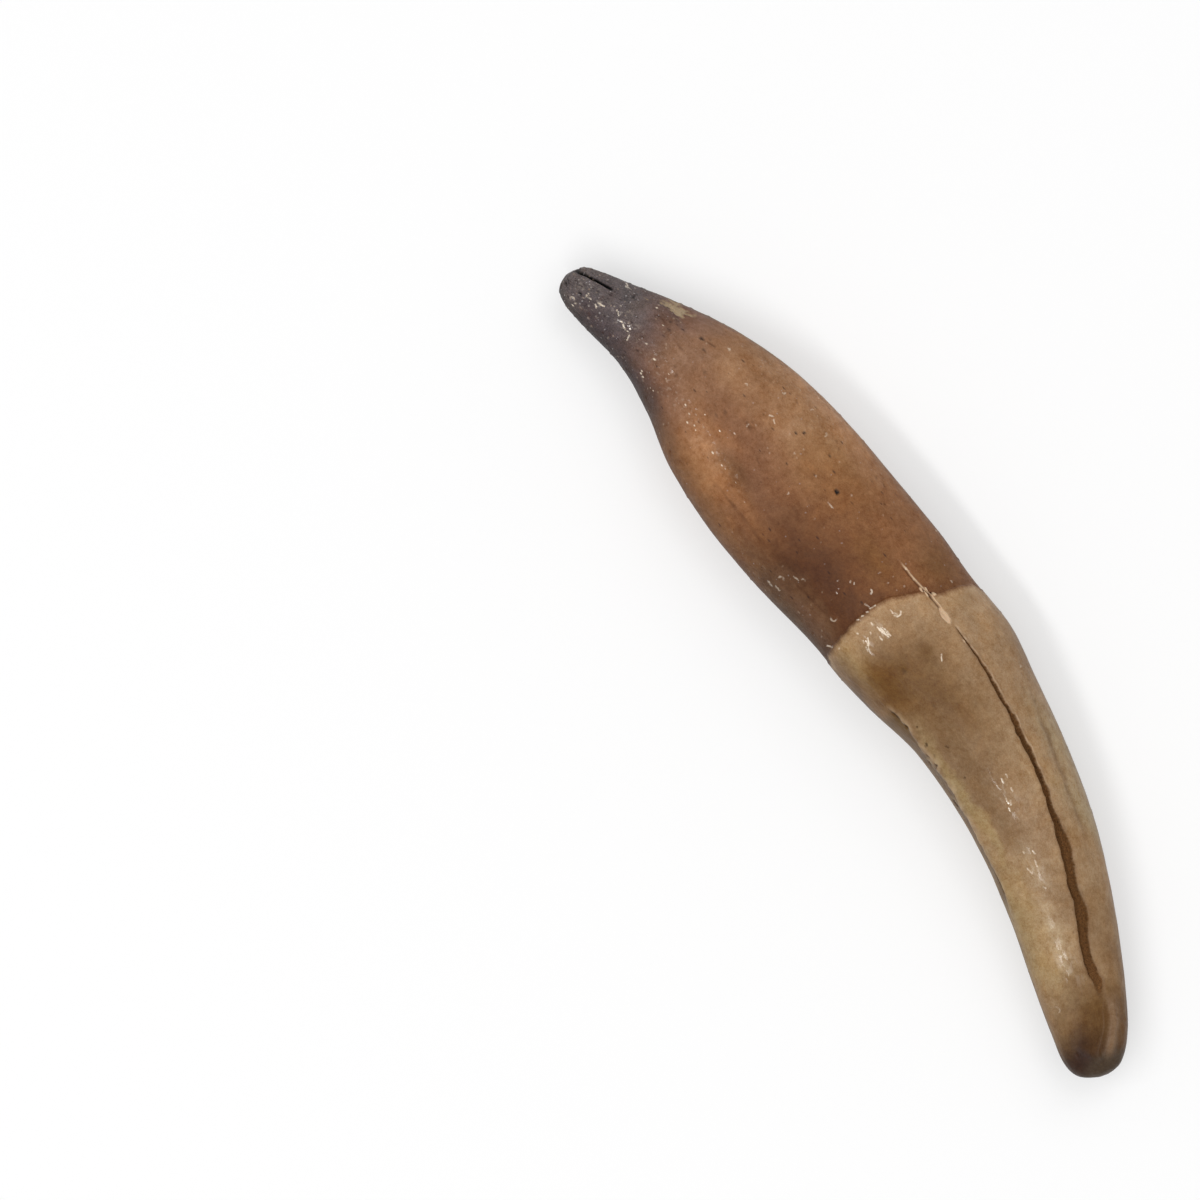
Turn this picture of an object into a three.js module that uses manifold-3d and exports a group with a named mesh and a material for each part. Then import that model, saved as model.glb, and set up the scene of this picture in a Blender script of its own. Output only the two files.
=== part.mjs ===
// Fossil seal tooth: one canine lying on its side, with a long stained root and a curved crown.
// Millimetres, +Z up. X runs from the root end to the crown tip, and +Y is the convex side.
import * as THREE from "three";
import { mergeVertices } from "three/addons/utils/BufferGeometryUtils.js";
import Module from "manifold-3d";

// The form of the tooth, from the root end to the crown tip. Each row is one cross-section:
// its point on the convex edge (x, y), its point on the concave edge (x, y),
// half of its thickness, and how far its middle dips below the middle of the tooth.
const SECTIONS = [
  [-0.42, 1.0, -0.42, 1.0, 0, 0.9],
  [-0.33, 1.6, -0.36, 0.5, 0.75, 0.9],
  [0.0, 2.1, 0.1, -0.2, 1.2, 0.88],
  [0.9, 2.8, 1.2, -0.45, 1.5, 0.84],
  [2.4, 3.8, 3.2, -0.2, 1.95, 0.75],
  [5.0, 5.55, 6.2, 0.27, 2.6, 0.58],
  [8.5, 7.55, 9.6, 0.0, 3.3, 0.36],
  [12.5, 9.1, 13.2, -0.75, 3.85, 0.16],
  [17.0, 10.05, 17.6, -0.9, 4.15, 0.04],
  [22.0, 10.6, 22.2, -0.48, 4.25, 0],
  [26.4, 11.0, 26.4, 0.27, 4.2, 0],
  [29.6, 11.06, 29.6, 0.74, 4.1, 0.02],
  [33.5, 11.36, 33.2, 1.2, 4.05, 0.06],
  [37.4, 10.8, 36.6, 1.97, 3.75, 0.14],
  [41.6, 10.1, 40.4, 2.13, 3.4, 0.26],
  [46.2, 9.0, 44.6, 1.82, 3.0, 0.42],
  [51.0, 7.2, 48.8, 1.0, 2.6, 0.6],
  [55.0, 5.3, 52.8, -0.08, 2.2, 0.74],
  [57.8, 3.76, 56.2, -0.92, 1.8, 0.83],
  [59.25, 2.74, 58.2, -1.3, 1.4, 0.88],
  [60.05, 1.82, 59.36, -1.02, 1.0, 0.9],
  [60.28, 1.2, 60.06, -0.12, 0.55, 0.9],
  [60.31, 0.6, 60.31, 0.6, 0, 0.9],
];
const FULLNESS = 2.15; // power of each cross-section: 2 is an ellipse, more is squarer
const REST_FLAT_DEPTH = 0.3; // the lowest part of the underside is worn flat this deep

// The collar, where the enamel of the crown ends on the root
const COLLAR_X = 28.5; // its mean place along the tooth
const COLLAR_TILT = 0.8; // how much nearer the tip it is on the convex side
const COLLAR_WAVE = 0.85; // how much nearer the tip it is on both edges than on the faces
const COLLAR_HOOK = 0.5; // how far it hooks towards the tip at the very edges
const CRACK_ANGLE = 1.16; // where the crack meets it, in radians round from the convex edge
const COLLAR_STEP = [
  [-0.85, 0], // radians past the crack, and how much nearer the tip the collar is there
  [-0.54, 0.23],
  [-0.36, 0.47],
  [-0.2, 0.64],
  [-0.05, 0.7],
  [0.05, 0.38],
  [0.25, 0.24],
  [0.42, 0],
  [0.85, 0.1],
  [1.1, 0.16],
  [1.4, 0.15],
  [1.9, 0],
];
const COLLAR_REACH = 6; // length on each side over which the mesh leans to follow it
const LEDGE_RISE = 0.12; // how far the enamel stands above the root
const LEDGE_RUN = 0.2; // length of its rounded lip

// Low forms of the surface: heights above, or depths below, the plain cross-section
const KEEL = { rise: 0.22, start: 33.5, end: 52 }; // ridge along the crown's concave side
const FURROW = { depth: 0.16, start: 35, end: 50 }; // beside the crown's convex edge
const FLUTE = { depth: 0.16, start: 9, end: 27 }; // broad hollow on the root's upper face
const WORN_TIP = { rise: 0.1, depth: 0.26, start: 54.6, end: 59.6 }; // a ridge, and a hollow under it
const SWELLINGS = [
  { rise: 0.28, x: 30.6, length: 2.4, share: -0.62, reach: 0.36 }, // the crown's base
  { rise: 0.22, x: 30.1, length: 1.5, share: -0.72, reach: 0.26 }, // its knuckle
  { rise: -0.12, x: 32.4, length: 1.3, share: -0.5, reach: 0.3 }, // the dip beside the knuckle
];

// Openings in the upper face: points along each (x, y), with its width and depth there
const CRACK = [
  [32.6, 8.43, 0.06, 0.1],
  [34.5, 8.45, 0.12, 0.17],
  [36, 8.33, 0.18, 0.22],
  [38, 8.19, 0.31, 0.28],
  [40, 7.93, 0.34, 0.34],
  [42, 7.57, 0.38, 0.38],
  [43.2, 7.34, 0.44, 0.4],
  [44.7, 6.86, 0.36, 0.42],
  [46.6, 6.45, 0.56, 0.44],
  [47.8, 5.98, 0.5, 0.44],
  [49.4, 5.33, 0.58, 0.44],
  [51, 4.78, 0.66, 0.42],
  [52.6, 4.0, 0.6, 0.38],
  [54, 3.46, 0.56, 0.28],
  [55.3, 3.2, 0.46, 0.2],
  [56, 2.91, 0.26, 0.14],
];
const ROOT_SLIT = [
  [-0.3, 1.42, 0.28, 0.65],
  [0.3, 1.75, 0.26, 0.55],
  [1.2, 2.2, 0.18, 0.4],
  [2.15, 2.66, 0.06, 0.12],
];
const FLOOR_SHARE = 0.6; // width of an opening's floor as a share of its mouth
const CUT_ABOVE = 0.8; // how far each cutter stands clear of the surface

// Fineness of the mesh
const RINGS = 80;
const SIDES = 48;
const LEDGE_RINGS = [-0.3, -0.1, 0.1, 0.3];
const END_CROWDING = 0.06; // how much closer the rings are at both ends

const { clamp, smoothstep } = THREE.MathUtils;
const bell = (distance, reach) => Math.exp(-((distance / reach) ** 2));
const stretch = (x, { start, end }, fade) =>
  smoothstep(x, start, start + fade) * (1 - smoothstep(x, end - fade, end));
const signedPower = (value, power) => Math.sign(value) * Math.abs(value) ** power;

const curveThrough = (pointOf) =>
  new THREE.CatmullRomCurve3(
    SECTIONS.map((row) => new THREE.Vector3(...pointOf(row))),
    false,
    "catmullrom",
  );
const convexEdge = curveThrough(([x, y]) => [x, y, 0]);
const concaveEdge = curveThrough(([, , x, y]) => [x, y, 0]);
const depths = curveThrough(([, , , , half, dip]) => [half, dip, 0]);

// One cross-section: its middle, the way from there to its convex edge, and half its thickness.
function sectionAt(t) {
  const convex = convexEdge.getPoint(t);
  const middle = concaveEdge.getPoint(t).add(convex).multiplyScalar(0.5);
  const across = convex.sub(middle);
  const { x: half, y: dip } = depths.getPoint(t);
  return { middle, across, half, dip };
}

// The value in 0..1 at which a rising function reaches zero.
function rootOf(rising) {
  let low = 0;
  let high = 1;
  for (let step = 0; step < 40; step++) {
    const middle = (low + high) / 2;
    if (rising(middle) < 0) low = middle;
    else high = middle;
  }
  return (low + high) / 2;
}

const stationOf = (x) => rootOf((t) => sectionAt(t).middle.x - x);

// The value at a place in rows of (place, value), which keep their end values beyond both ends.
function valueAt(place, rows) {
  const next = rows.findIndex(([start]) => start > place);
  if (next <= 0) return rows.at(next)[1];
  const [from, before] = rows[next - 1];
  const [to, after] = rows[next];
  return before + ((after - before) * (place - from)) / (to - from);
}

// The collar's place along the tooth at an angle round it.
function collarX(angle) {
  const pastCrack = ((angle - CRACK_ANGLE + 3 * Math.PI) % (2 * Math.PI)) - Math.PI;
  const hooked = smoothstep(Math.abs(Math.cos(angle)), 0.93, 1);
  const even = COLLAR_X + COLLAR_TILT * Math.cos(angle) + COLLAR_WAVE * Math.cos(2 * angle);
  return even + valueAt(pastCrack, COLLAR_STEP) + COLLAR_HOOK * hooked;
}

// The ridge runs beside the convex edge, and turns across the tooth at the very tip.
const ridgeShare = (x) => 0.61 - 0.045 * Math.max(0, x - 56.8) ** 2;

// Height of the low forms at a place x along the tooth. The share runs across it,
// from -1 on the concave edge to 1 on the convex edge.
function relief(x, share, pastCollar, onTop) {
  const half = LEDGE_RUN / 2;
  const onKeel = KEEL.rise * stretch(x, KEEL, 4);
  let height = LEDGE_RISE * (smoothstep(pastCollar, -half, half) - 0.5);
  for (const { rise, x: middle, length, share: side, reach } of SWELLINGS)
    height += rise * bell(x - middle, length) * bell(share - side, reach);
  height += onKeel * (bell(share + 0.84, 0.12) - 0.5 * bell(share + 0.58, 0.16));
  height -= FURROW.depth * stretch(x, FURROW, 5) * bell(share - 0.76, 0.14);
  if (!onTop) return height;
  height -= FLUTE.depth * stretch(x, FLUTE, 6) * bell(share, 0.35);
  const below = ridgeShare(x) - share;
  const hollow = smoothstep(below, 0, 0.45) * (1 - smoothstep(below, 0.45, 1.1));
  height += WORN_TIP.rise * stretch(x, WORN_TIP, 2) * bell(below, 0.22);
  height -= WORN_TIP.depth * stretch(x, WORN_TIP, 2) * hollow;
  return height;
}

// A point of the surface. t runs along the tooth, and the angle runs round it, from the convex
// edge over the upper face to the concave edge and back underneath.
function surfacePoint(t, angle) {
  const { middle, across, half, dip } = sectionAt(t);
  const share = signedPower(Math.cos(angle), 2 / FULLNESS);
  const lift = signedPower(Math.sin(angle), 2 / FULLNESS);
  const height = relief(middle.x, share, middle.x - collarX(angle), lift > 0);
  const outward = across.clone().multiplyScalar(share / across.lengthSq());
  outward.z = lift / half;
  const point = middle.clone().addScaledVector(across, share);
  point.z = lift * half - dip;
  return point.addScaledVector(outward.normalize(), height * smoothstep(across.length(), 0, 1.5));
}

// The point of the upper face above a point of the plan, and the outward direction there.
function placeOnTop(x, y) {
  const t = rootOf((value) => {
    const { middle, across } = sectionAt(value);
    return across.x * (y - middle.y) - across.y * (x - middle.x);
  });
  const { middle, across } = sectionAt(t);
  const share = new THREE.Vector3(x, y, 0).sub(middle).dot(across) / across.lengthSq();
  const angle = Math.acos(signedPower(clamp(share, -1, 1), FULLNESS / 2));
  const step = 0.01;
  const point = surfacePoint(t, angle);
  const along = surfacePoint(t + step, angle).sub(surfacePoint(t - step, angle));
  const round = surfacePoint(t, angle + step).sub(surfacePoint(t, angle - step));
  return { point, outward: along.cross(round).normalize() };
}

// A closed surface through rings of points, with a single point at each end.
function skinOver(first, rings, last) {
  const points = [first, ...rings.flat(), last];
  const sides = rings[0].length;
  const end = rings.length - 1;
  const at = (ring, side) => 1 + ring * sides + (side % sides);
  const index = [];
  for (let side = 0; side < sides; side++) {
    index.push(0, at(0, side + 1), at(0, side));
    for (let ring = 0; ring < end; ring++) {
      index.push(at(ring, side), at(ring, side + 1), at(ring + 1, side));
      index.push(at(ring, side + 1), at(ring + 1, side + 1), at(ring + 1, side));
    }
    index.push(points.length - 1, at(end, side), at(end, side + 1));
  }
  return new THREE.BufferGeometry().setFromPoints(points).setIndex(index);
}

// One ring of the surface. Near the collar it leans to run along the ledge.
function ringAt(start) {
  const { x } = sectionAt(start).middle;
  const share = 1 - smoothstep(Math.abs(x - COLLAR_X), 0, COLLAR_REACH);
  const ring = [];
  for (let side = 0; side < SIDES; side++) {
    const angle = (2 * Math.PI * side) / SIDES;
    const place = x + share * (collarX(angle) - COLLAR_X);
    const t = share > 0 ? stationOf(place) : start;
    ring.push(surfacePoint(t, angle));
  }
  return ring;
}

// The whole outer surface, with its closest rings at the ledge and at both ends.
function toothSkin() {
  const ledge = LEDGE_RINGS.map((offset) => stationOf(COLLAR_X + offset));
  const spread = Array.from({ length: RINGS - 1 }, (_, ring) => {
    const even = (ring + 1) / RINGS;
    return even - END_CROWDING * Math.sin(2 * Math.PI * even);
  });
  const clearOfLedge = spread.filter((t) => Math.abs(sectionAt(t).middle.x - COLLAR_X) > 0.8);
  const rings = [...ledge, ...clearOfLedge].sort((a, b) => a - b).map(ringAt);
  const pole = (t) => sectionAt(t).middle.setZ(-sectionAt(t).dip);
  return skinOver(pole(0), rings, pole(1));
}

// The wedge that cuts one opening into the upper face.
function wedgeAlong(path) {
  const places = path.map(([x, y]) => placeOnTop(x, y));
  const rings = path.map(([, , width, depth], order) => {
    const { point, outward } = places[order];
    const before = places[Math.max(order - 1, 0)].point;
    const after = places[Math.min(order + 1, path.length - 1)].point;
    const sideways = outward.clone().cross(after.clone().sub(before)).normalize();
    const corner = (out, side) =>
      point.clone().addScaledVector(outward, out).addScaledVector(sideways, side);
    const mouth = width / 2;
    const floor = mouth * FLOOR_SHARE;
    return [
      corner(CUT_ABOVE, mouth),
      corner(CUT_ABOVE, -mouth),
      corner(-depth, -floor),
      corner(-depth, floor),
    ];
  });
  const centre = (ring) =>
    ring.reduce((sum, point) => sum.add(point), new THREE.Vector3()).divideScalar(ring.length);
  return skinOver(centre(rings[0]), rings, centre(rings.at(-1)));
}

const wasm = await Module();
wasm.setup();

function solidFrom(geometry) {
  const bare = geometry.clone();
  bare.deleteAttribute("normal");
  bare.deleteAttribute("uv");
  const merged = mergeVertices(bare, 1e-4);
  const vertProperties = merged.getAttribute("position").array;
  const triVerts = new Uint32Array(merged.index.array);
  return new wasm.Manifold(new wasm.Mesh({ numProp: 3, vertProperties, triVerts }));
}

function geometryFrom(solid) {
  const { vertProperties, triVerts } = solid.getMesh();
  const geometry = new THREE.BufferGeometry();
  geometry.setAttribute("position", new THREE.BufferAttribute(vertProperties, 3));
  geometry.setIndex(new THREE.BufferAttribute(triVerts, 1));
  geometry.computeVertexNormals();
  return geometry;
}

function toothGeometry() {
  const skin = toothSkin();
  skin.computeBoundingBox();
  const { min, max } = skin.boundingBox;
  const belowFlat = new THREE.BoxGeometry(max.x - min.x, 2 * max.y, 2 * REST_FLAT_DEPTH);
  belowFlat.translate((min.x + max.x) / 2, max.y / 2, min.z);
  const cutters = [wedgeAlong(CRACK), wedgeAlong(ROOT_SLIT), belowFlat];
  return geometryFrom(
    cutters.reduce((solid, cutter) => solid.subtract(solidFrom(cutter)), solidFrom(skin)),
  );
}

const tooth = new THREE.Mesh(
  toothGeometry(),
  new THREE.MeshStandardMaterial({ color: 0x96784f, roughness: 0.35, metalness: 0 }),
);
tooth.name = "tooth";

// The origin is at the middle of the tooth's box, on the surface that it lies on.
tooth.geometry.computeBoundingBox();
const { min, max } = tooth.geometry.boundingBox;
tooth.position.set(-(min.x + max.x) / 2, -(min.y + max.y) / 2, -min.z);

const group = new THREE.Group();
group.add(tooth);
export default group;
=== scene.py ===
import math

import bpy
import numpy as np
from mathutils import Matrix, Vector


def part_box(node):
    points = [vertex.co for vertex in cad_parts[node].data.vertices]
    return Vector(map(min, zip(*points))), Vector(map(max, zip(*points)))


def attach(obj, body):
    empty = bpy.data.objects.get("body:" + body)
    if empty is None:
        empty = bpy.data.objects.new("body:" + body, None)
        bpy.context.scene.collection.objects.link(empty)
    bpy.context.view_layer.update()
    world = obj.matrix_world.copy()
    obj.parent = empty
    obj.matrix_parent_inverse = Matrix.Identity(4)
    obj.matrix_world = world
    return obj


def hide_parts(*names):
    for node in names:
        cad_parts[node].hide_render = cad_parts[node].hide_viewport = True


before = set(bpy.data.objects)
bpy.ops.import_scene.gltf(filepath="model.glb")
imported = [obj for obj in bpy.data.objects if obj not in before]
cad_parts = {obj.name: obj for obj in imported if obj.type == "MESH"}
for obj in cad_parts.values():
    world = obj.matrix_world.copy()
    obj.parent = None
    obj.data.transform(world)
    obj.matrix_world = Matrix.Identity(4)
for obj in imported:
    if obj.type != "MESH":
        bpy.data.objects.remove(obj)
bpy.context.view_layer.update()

# --- Sizes, in millimetres. The plan runs from the root end (x = 0) to the crown tip (x = 60),
# with y towards the convex edge, and the tooth lies on its flat at the bottom of the CAD box.
MM = 0.001

# Cross-sections: a point on the convex edge, a point on the concave edge,
# half of the thickness, and how far the middle dips.
SECTIONS = np.array([
    [-0.42, 1.0, -0.42, 1.0, 0, 0.9],
    [-0.33, 1.6, -0.36, 0.5, 0.75, 0.9],
    [0.0, 2.1, 0.1, -0.2, 1.2, 0.88],
    [0.9, 2.8, 1.2, -0.45, 1.5, 0.84],
    [2.4, 3.8, 3.2, -0.2, 1.95, 0.75],
    [5.0, 5.55, 6.2, 0.27, 2.6, 0.58],
    [8.5, 7.55, 9.6, 0.0, 3.3, 0.36],
    [12.5, 9.1, 13.2, -0.75, 3.85, 0.16],
    [17.0, 10.05, 17.6, -0.9, 4.15, 0.04],
    [22.0, 10.6, 22.2, -0.48, 4.25, 0],
    [26.4, 11.0, 26.4, 0.27, 4.2, 0],
    [29.6, 11.06, 29.6, 0.74, 4.1, 0.02],
    [33.5, 11.36, 33.2, 1.2, 4.05, 0.06],
    [37.4, 10.8, 36.6, 1.97, 3.75, 0.14],
    [41.6, 10.1, 40.4, 2.13, 3.4, 0.26],
    [46.2, 9.0, 44.6, 1.82, 3.0, 0.42],
    [51.0, 7.2, 48.8, 1.0, 2.6, 0.6],
    [55.0, 5.3, 52.8, -0.08, 2.2, 0.74],
    [57.8, 3.76, 56.2, -0.92, 1.8, 0.83],
    [59.25, 2.74, 58.2, -1.3, 1.4, 0.88],
    [60.05, 1.82, 59.36, -1.02, 1.0, 0.9],
    [60.28, 1.2, 60.06, -0.12, 0.55, 0.9],
    [60.31, 0.6, 60.31, 0.6, 0, 0.9],
])
FULLNESS = 2.15
REST_FLAT_DEPTH = 0.3

# The collar, where the enamel ends on the root
COLLAR_X = 28.5
COLLAR_TILT = 0.8
COLLAR_WAVE = 0.85
COLLAR_RAGGED = 0.02
COLLAR_HOOK = 0.5
COLLAR_STEP = np.array([  # angle past the crack, and how much nearer the tip it is there
    [-0.85, 0], [-0.54, 0.23], [-0.36, 0.47], [-0.2, 0.64], [-0.05, 0.7],
    [0.05, 0.38], [0.25, 0.24], [0.42, 0], [0.85, 0.1], [1.1, 0.16], [1.4, 0.15], [1.9, 0],
])
COLLAR_REACH = 6
LEDGE_RISE = 0.11
LEDGE_RUN = 0.14

# Swellings beside the collar: height, middle and reach along, middle and reach as shares across
SHOULDER = (0.28, 30.6, 2.4, -0.62, 0.36)
KNUCKLE = (0.22, 30.1, 1.5, -0.72, 0.26)
BEHIND_KNUCKLE = (0.12, 32.4, 1.3, -0.5, 0.3)

# Long low forms: start, end and fade along the tooth, and their heights
KEEL_RUN = (33.5, 52, 4)
KEEL_RISE = 0.22
FURROW_RUN = (35, 50, 5)
FURROW_DEPTH = 0.16
FLUTE_RUN = (9, 27, 6)
FLUTE_DEPTH = 0.16

# The long crack: its line in plan, and its width and depth along it
CRACK_LINE = np.array([
    [-0.5, 1.33], [0.4, 1.8], [1.3, 2.25], [2.4, 2.8], [6, 4.6], [12, 6.6], [20, 7.65],
    [26.3, 7.85], [28.2, 8.0], [29.3, 8.25], [31.2, 8.32], [33, 8.45], [34.5, 8.45],
    [36, 8.33], [38, 8.19], [40, 7.93], [42, 7.57], [43.2, 7.34], [44.7, 6.86], [45.5, 6.64],
    [46.6, 6.45], [47.4, 6.16], [49, 5.46], [50, 5.15], [51, 4.78], [52, 4.28], [53, 3.82],
    [54, 3.46], [55.2, 3.24], [57, 2.5], [59, 1.0],
])
CRACK_START = 31.3
CRACK_END = 57.0
CRACK_WIDTHS = np.array([[31.3, 0.06], [33, 0.08], [36, 0.18], [37, 0.26], [38, 0.31], [42, 0.38],
                         [43.2, 0.44], [44.6, 0.34], [45.6, 0.44], [46.6, 0.58], [47.8, 0.48],
                         [49.4, 0.58], [51, 0.68], [52.6, 0.6], [54, 0.56], [55.4, 0.52],
                         [56.2, 0.34], [57, 0.1]])
CRACK_DEPTHS = np.array([[31.3, 0.08], [34, 0.16], [36, 0.22], [41, 0.36], [47, 0.42], [52, 0.4],
                         [54, 0.26], [55.6, 0.08], [57, 0]])
CRACK_WALL = 0.06
CRACK_EDGE = 0.4  # how far to each side of its edge the distance to it is kept
CRACK_LIP_RISE = 0.045
CRACK_SPILL_DEPTH = 0.05

# The hairline at its root end: a thin raised thread, then chips and a scar where it opens
THREAD = [(26.1, 7.84), (27.2, 7.9), (28.3, 8.05), (28.9, 8.22), (30.0, 8.28), (31.4, 8.36)]
THREAD_HALF = 0.05
THREAD_RISE = 0.05
CHIPS = [  # x, y, half length, half width
    (28.45, 7.92, 0.22, 0.09),
    (28.85, 8.02, 0.3, 0.07),
    (29.12, 8.42, 0.16, 0.13),
    (28.62, 8.2, 0.2, 0.05),
    (32.6, 8.3, 0.16, 0.05),
]
CHIP_RISE = 0.08
SCAR = (30.65, 8.2, 0.72, 0.2)
SCAR_DEPTH = 0.06

# The slit in the root's end
SLIT = [(-0.8, 1.15), (-0.3, 1.42), (0.3, 1.75), (1.2, 2.2), (2.15, 2.66)]
SLIT_HALF = 0.1
SLIT_DEPTH = 0.55

# The pale patch where a flake has come off the root
FLAKE = (5.35, 5.3, 0.95, 0.3)
FLAKE_SLOPE = 0.42
FLAKE_DEPTH = 0.07

# The worn tip: the pale ridge that goes on from the crack's upper wall, and the hollow under it
RIDGE = [(55.6, 3.75), (56.6, 3.35), (57.5, 2.82), (58.4, 2.12), (59.1, 1.35), (59.5, 0.7)]
RIDGE_HALF = 0.32
RIDGE_RISE = 0.16
HOLLOW_WALL = (0.2, 0.55)
HOLLOW_REACH = 2.5
HOLLOW_DEPTH = 0.3

# The broken seams along the keel, with how strong each is and how high its rim, and the shelf
SEAMS = [
    ([(33.45, 2.12), (33.9, 2.2), (34.3, 2.3), (34.65, 2.36)], 0.95, 1),
    ([(34.7, 2.42), (35.0, 2.42), (35.3, 2.46)], 1.0, 1),
    ([(35.35, 2.92), (35.5, 2.94)], 0.95, 0.2),
    ([(36.45, 2.92), (36.65, 2.88), (36.9, 2.82)], 0.85, 0.2),
    ([(36.95, 2.6), (37.3, 2.66), (37.6, 2.68)], 0.9, 1),
    ([(37.85, 2.74), (38.1, 2.76), (38.3, 2.64)], 0.85, 1),
    ([(37.25, 3.6), (37.5, 3.72), (37.85, 3.78)], 0.95, 0),
    ([(37.6, 2.36), (37.95, 2.38)], 0.95, 1),
    ([(39.6, 3.55), (39.9, 3.5)], 0.85, 0),
    ([(40.1, 2.62), (40.5, 2.58)], 0.9, 1),
    ([(40.5, 2.24), (40.9, 2.3), (41.15, 2.3)], 1.05, 1),
    ([(43.0, 2.22), (43.6, 2.2)], 0.9, 1),
    ([(45.8, 1.92), (46.6, 1.86), (47.4, 1.68)], 1.05, 1),
]
SHELF = [(33.2, 2.02), (34.2, 2.32), (35.2, 2.47), (36.6, 2.54), (38.0, 2.62), (39.4, 2.72),
         (41.0, 2.52), (43.0, 2.34), (45.0, 2.08), (47.0, 1.78), (48.6, 1.34)]
SHELF_DROP = 0.09
SEAM_RELIEF = 0.09  # how high the rims are and how deep the grooves
FURROW_LINE = [(36.2, 10.35), (38.5, 9.85), (41.2, 9.3), (43.6, 8.72), (46.0, 8.12), (48.6, 7.4)]
FURROW_LINE_DEPTH = 0.05
SEAM_REACH = 0.25

# Faint lines on the root and at the collar
ROOT_LINES = [
    [(15.5, 0.95), (18.2, 1.2), (20, 1.3), (21.2, 1.42)],
    [(23.2, 1.5), (25, 1.85), (26.8, 2.15), (27.7, 2.2)],
    [(28.3, 7.96), (28.8, 8.08), (29.4, 8.12)],
    [(6.9, 4.02), (7.35, 3.96), (7.8, 4.08)], [(5.1, 4.12), (5.9, 4.02)], [(8.0, 5.6), (8.7, 5.88)],
]
FAINT_DEPTH = 0.04

# Small marks on the upper face
PITS = [  # x, y, radius, how deep and dark
    (20.42, 7.05, 0.16, 1.0), (16.22, 7.42, 0.1, 0.8), (15.88, 6.98, 0.08, 0.7),
    (18.35, 7.95, 0.09, 0.6), (7.68, 5.45, 0.13, 0.8), (8.4, 5.15, 0.1, 0.5),
    (14.0, 4.75, 0.11, 0.35), (13.45, 7.75, 0.12, 0.25), (1.05, 0.7, 0.11, 1.0),
    (0.0, 0.32, 0.1, 0.9), (-0.1, 0.58, 0.08, 0.7), (3.12, 3.37, 0.12, 0.7),
    (12.35, 4.0, 0.14, 0.3), (12.2, 3.45, 0.1, 0.35), (6.05, 4.05, 0.12, 0.5),
    (9.55, 4.4, 0.14, 0.25), (8.1, 5.85, 0.1, 0.35), (5.75, 4.45, 0.1, 0.5),
    (28.98, 8.3, 0.07, 0.8), (28.52, 8.12, 0.06, 0.7), (32.05, 4.2, 0.16, 0.3), (34.9, 4.5, 0.1, 0.3),
]
BLISTERS = [  # x, y, radius of the ring, the side its painted highlight is on in degrees, and that highlight's brightness
    (28.78, 5.85, 0.24, 0, 0.8), (26.75, 5.2, 0.13, 60, 0.6), (26.84, 2.42, 0.2, -50, 0.45),
    (23.0, 1.02, 0.18, 120, 0.4), (23.85, 2.1, 0.12, 120, 0.3), (55.1, 0.15, 0.2, 90, 0.25),
    (17.05, 8.42, 0.1, 40, 0.35), (15.35, 8.6, 0.08, 150, 0.3), (1.1, 0.1, 0.14, 120, 0.6),
    (13.4, 7.8, 0.1, -40, 0.4), (29.1, 9.75, 0.06, 90, 0.3), (35.9, 10.35, 0.08, 60, 0.3),
    (11.7, 6.05, 0.1, 100, 0.4), (9.25, 6.4, 0.08, 90, 0.5), (18.75, 4.4, 0.07, 30, 0.4),
    (13.9, 4.75, 0.1, 200, 0.3),
]
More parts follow.
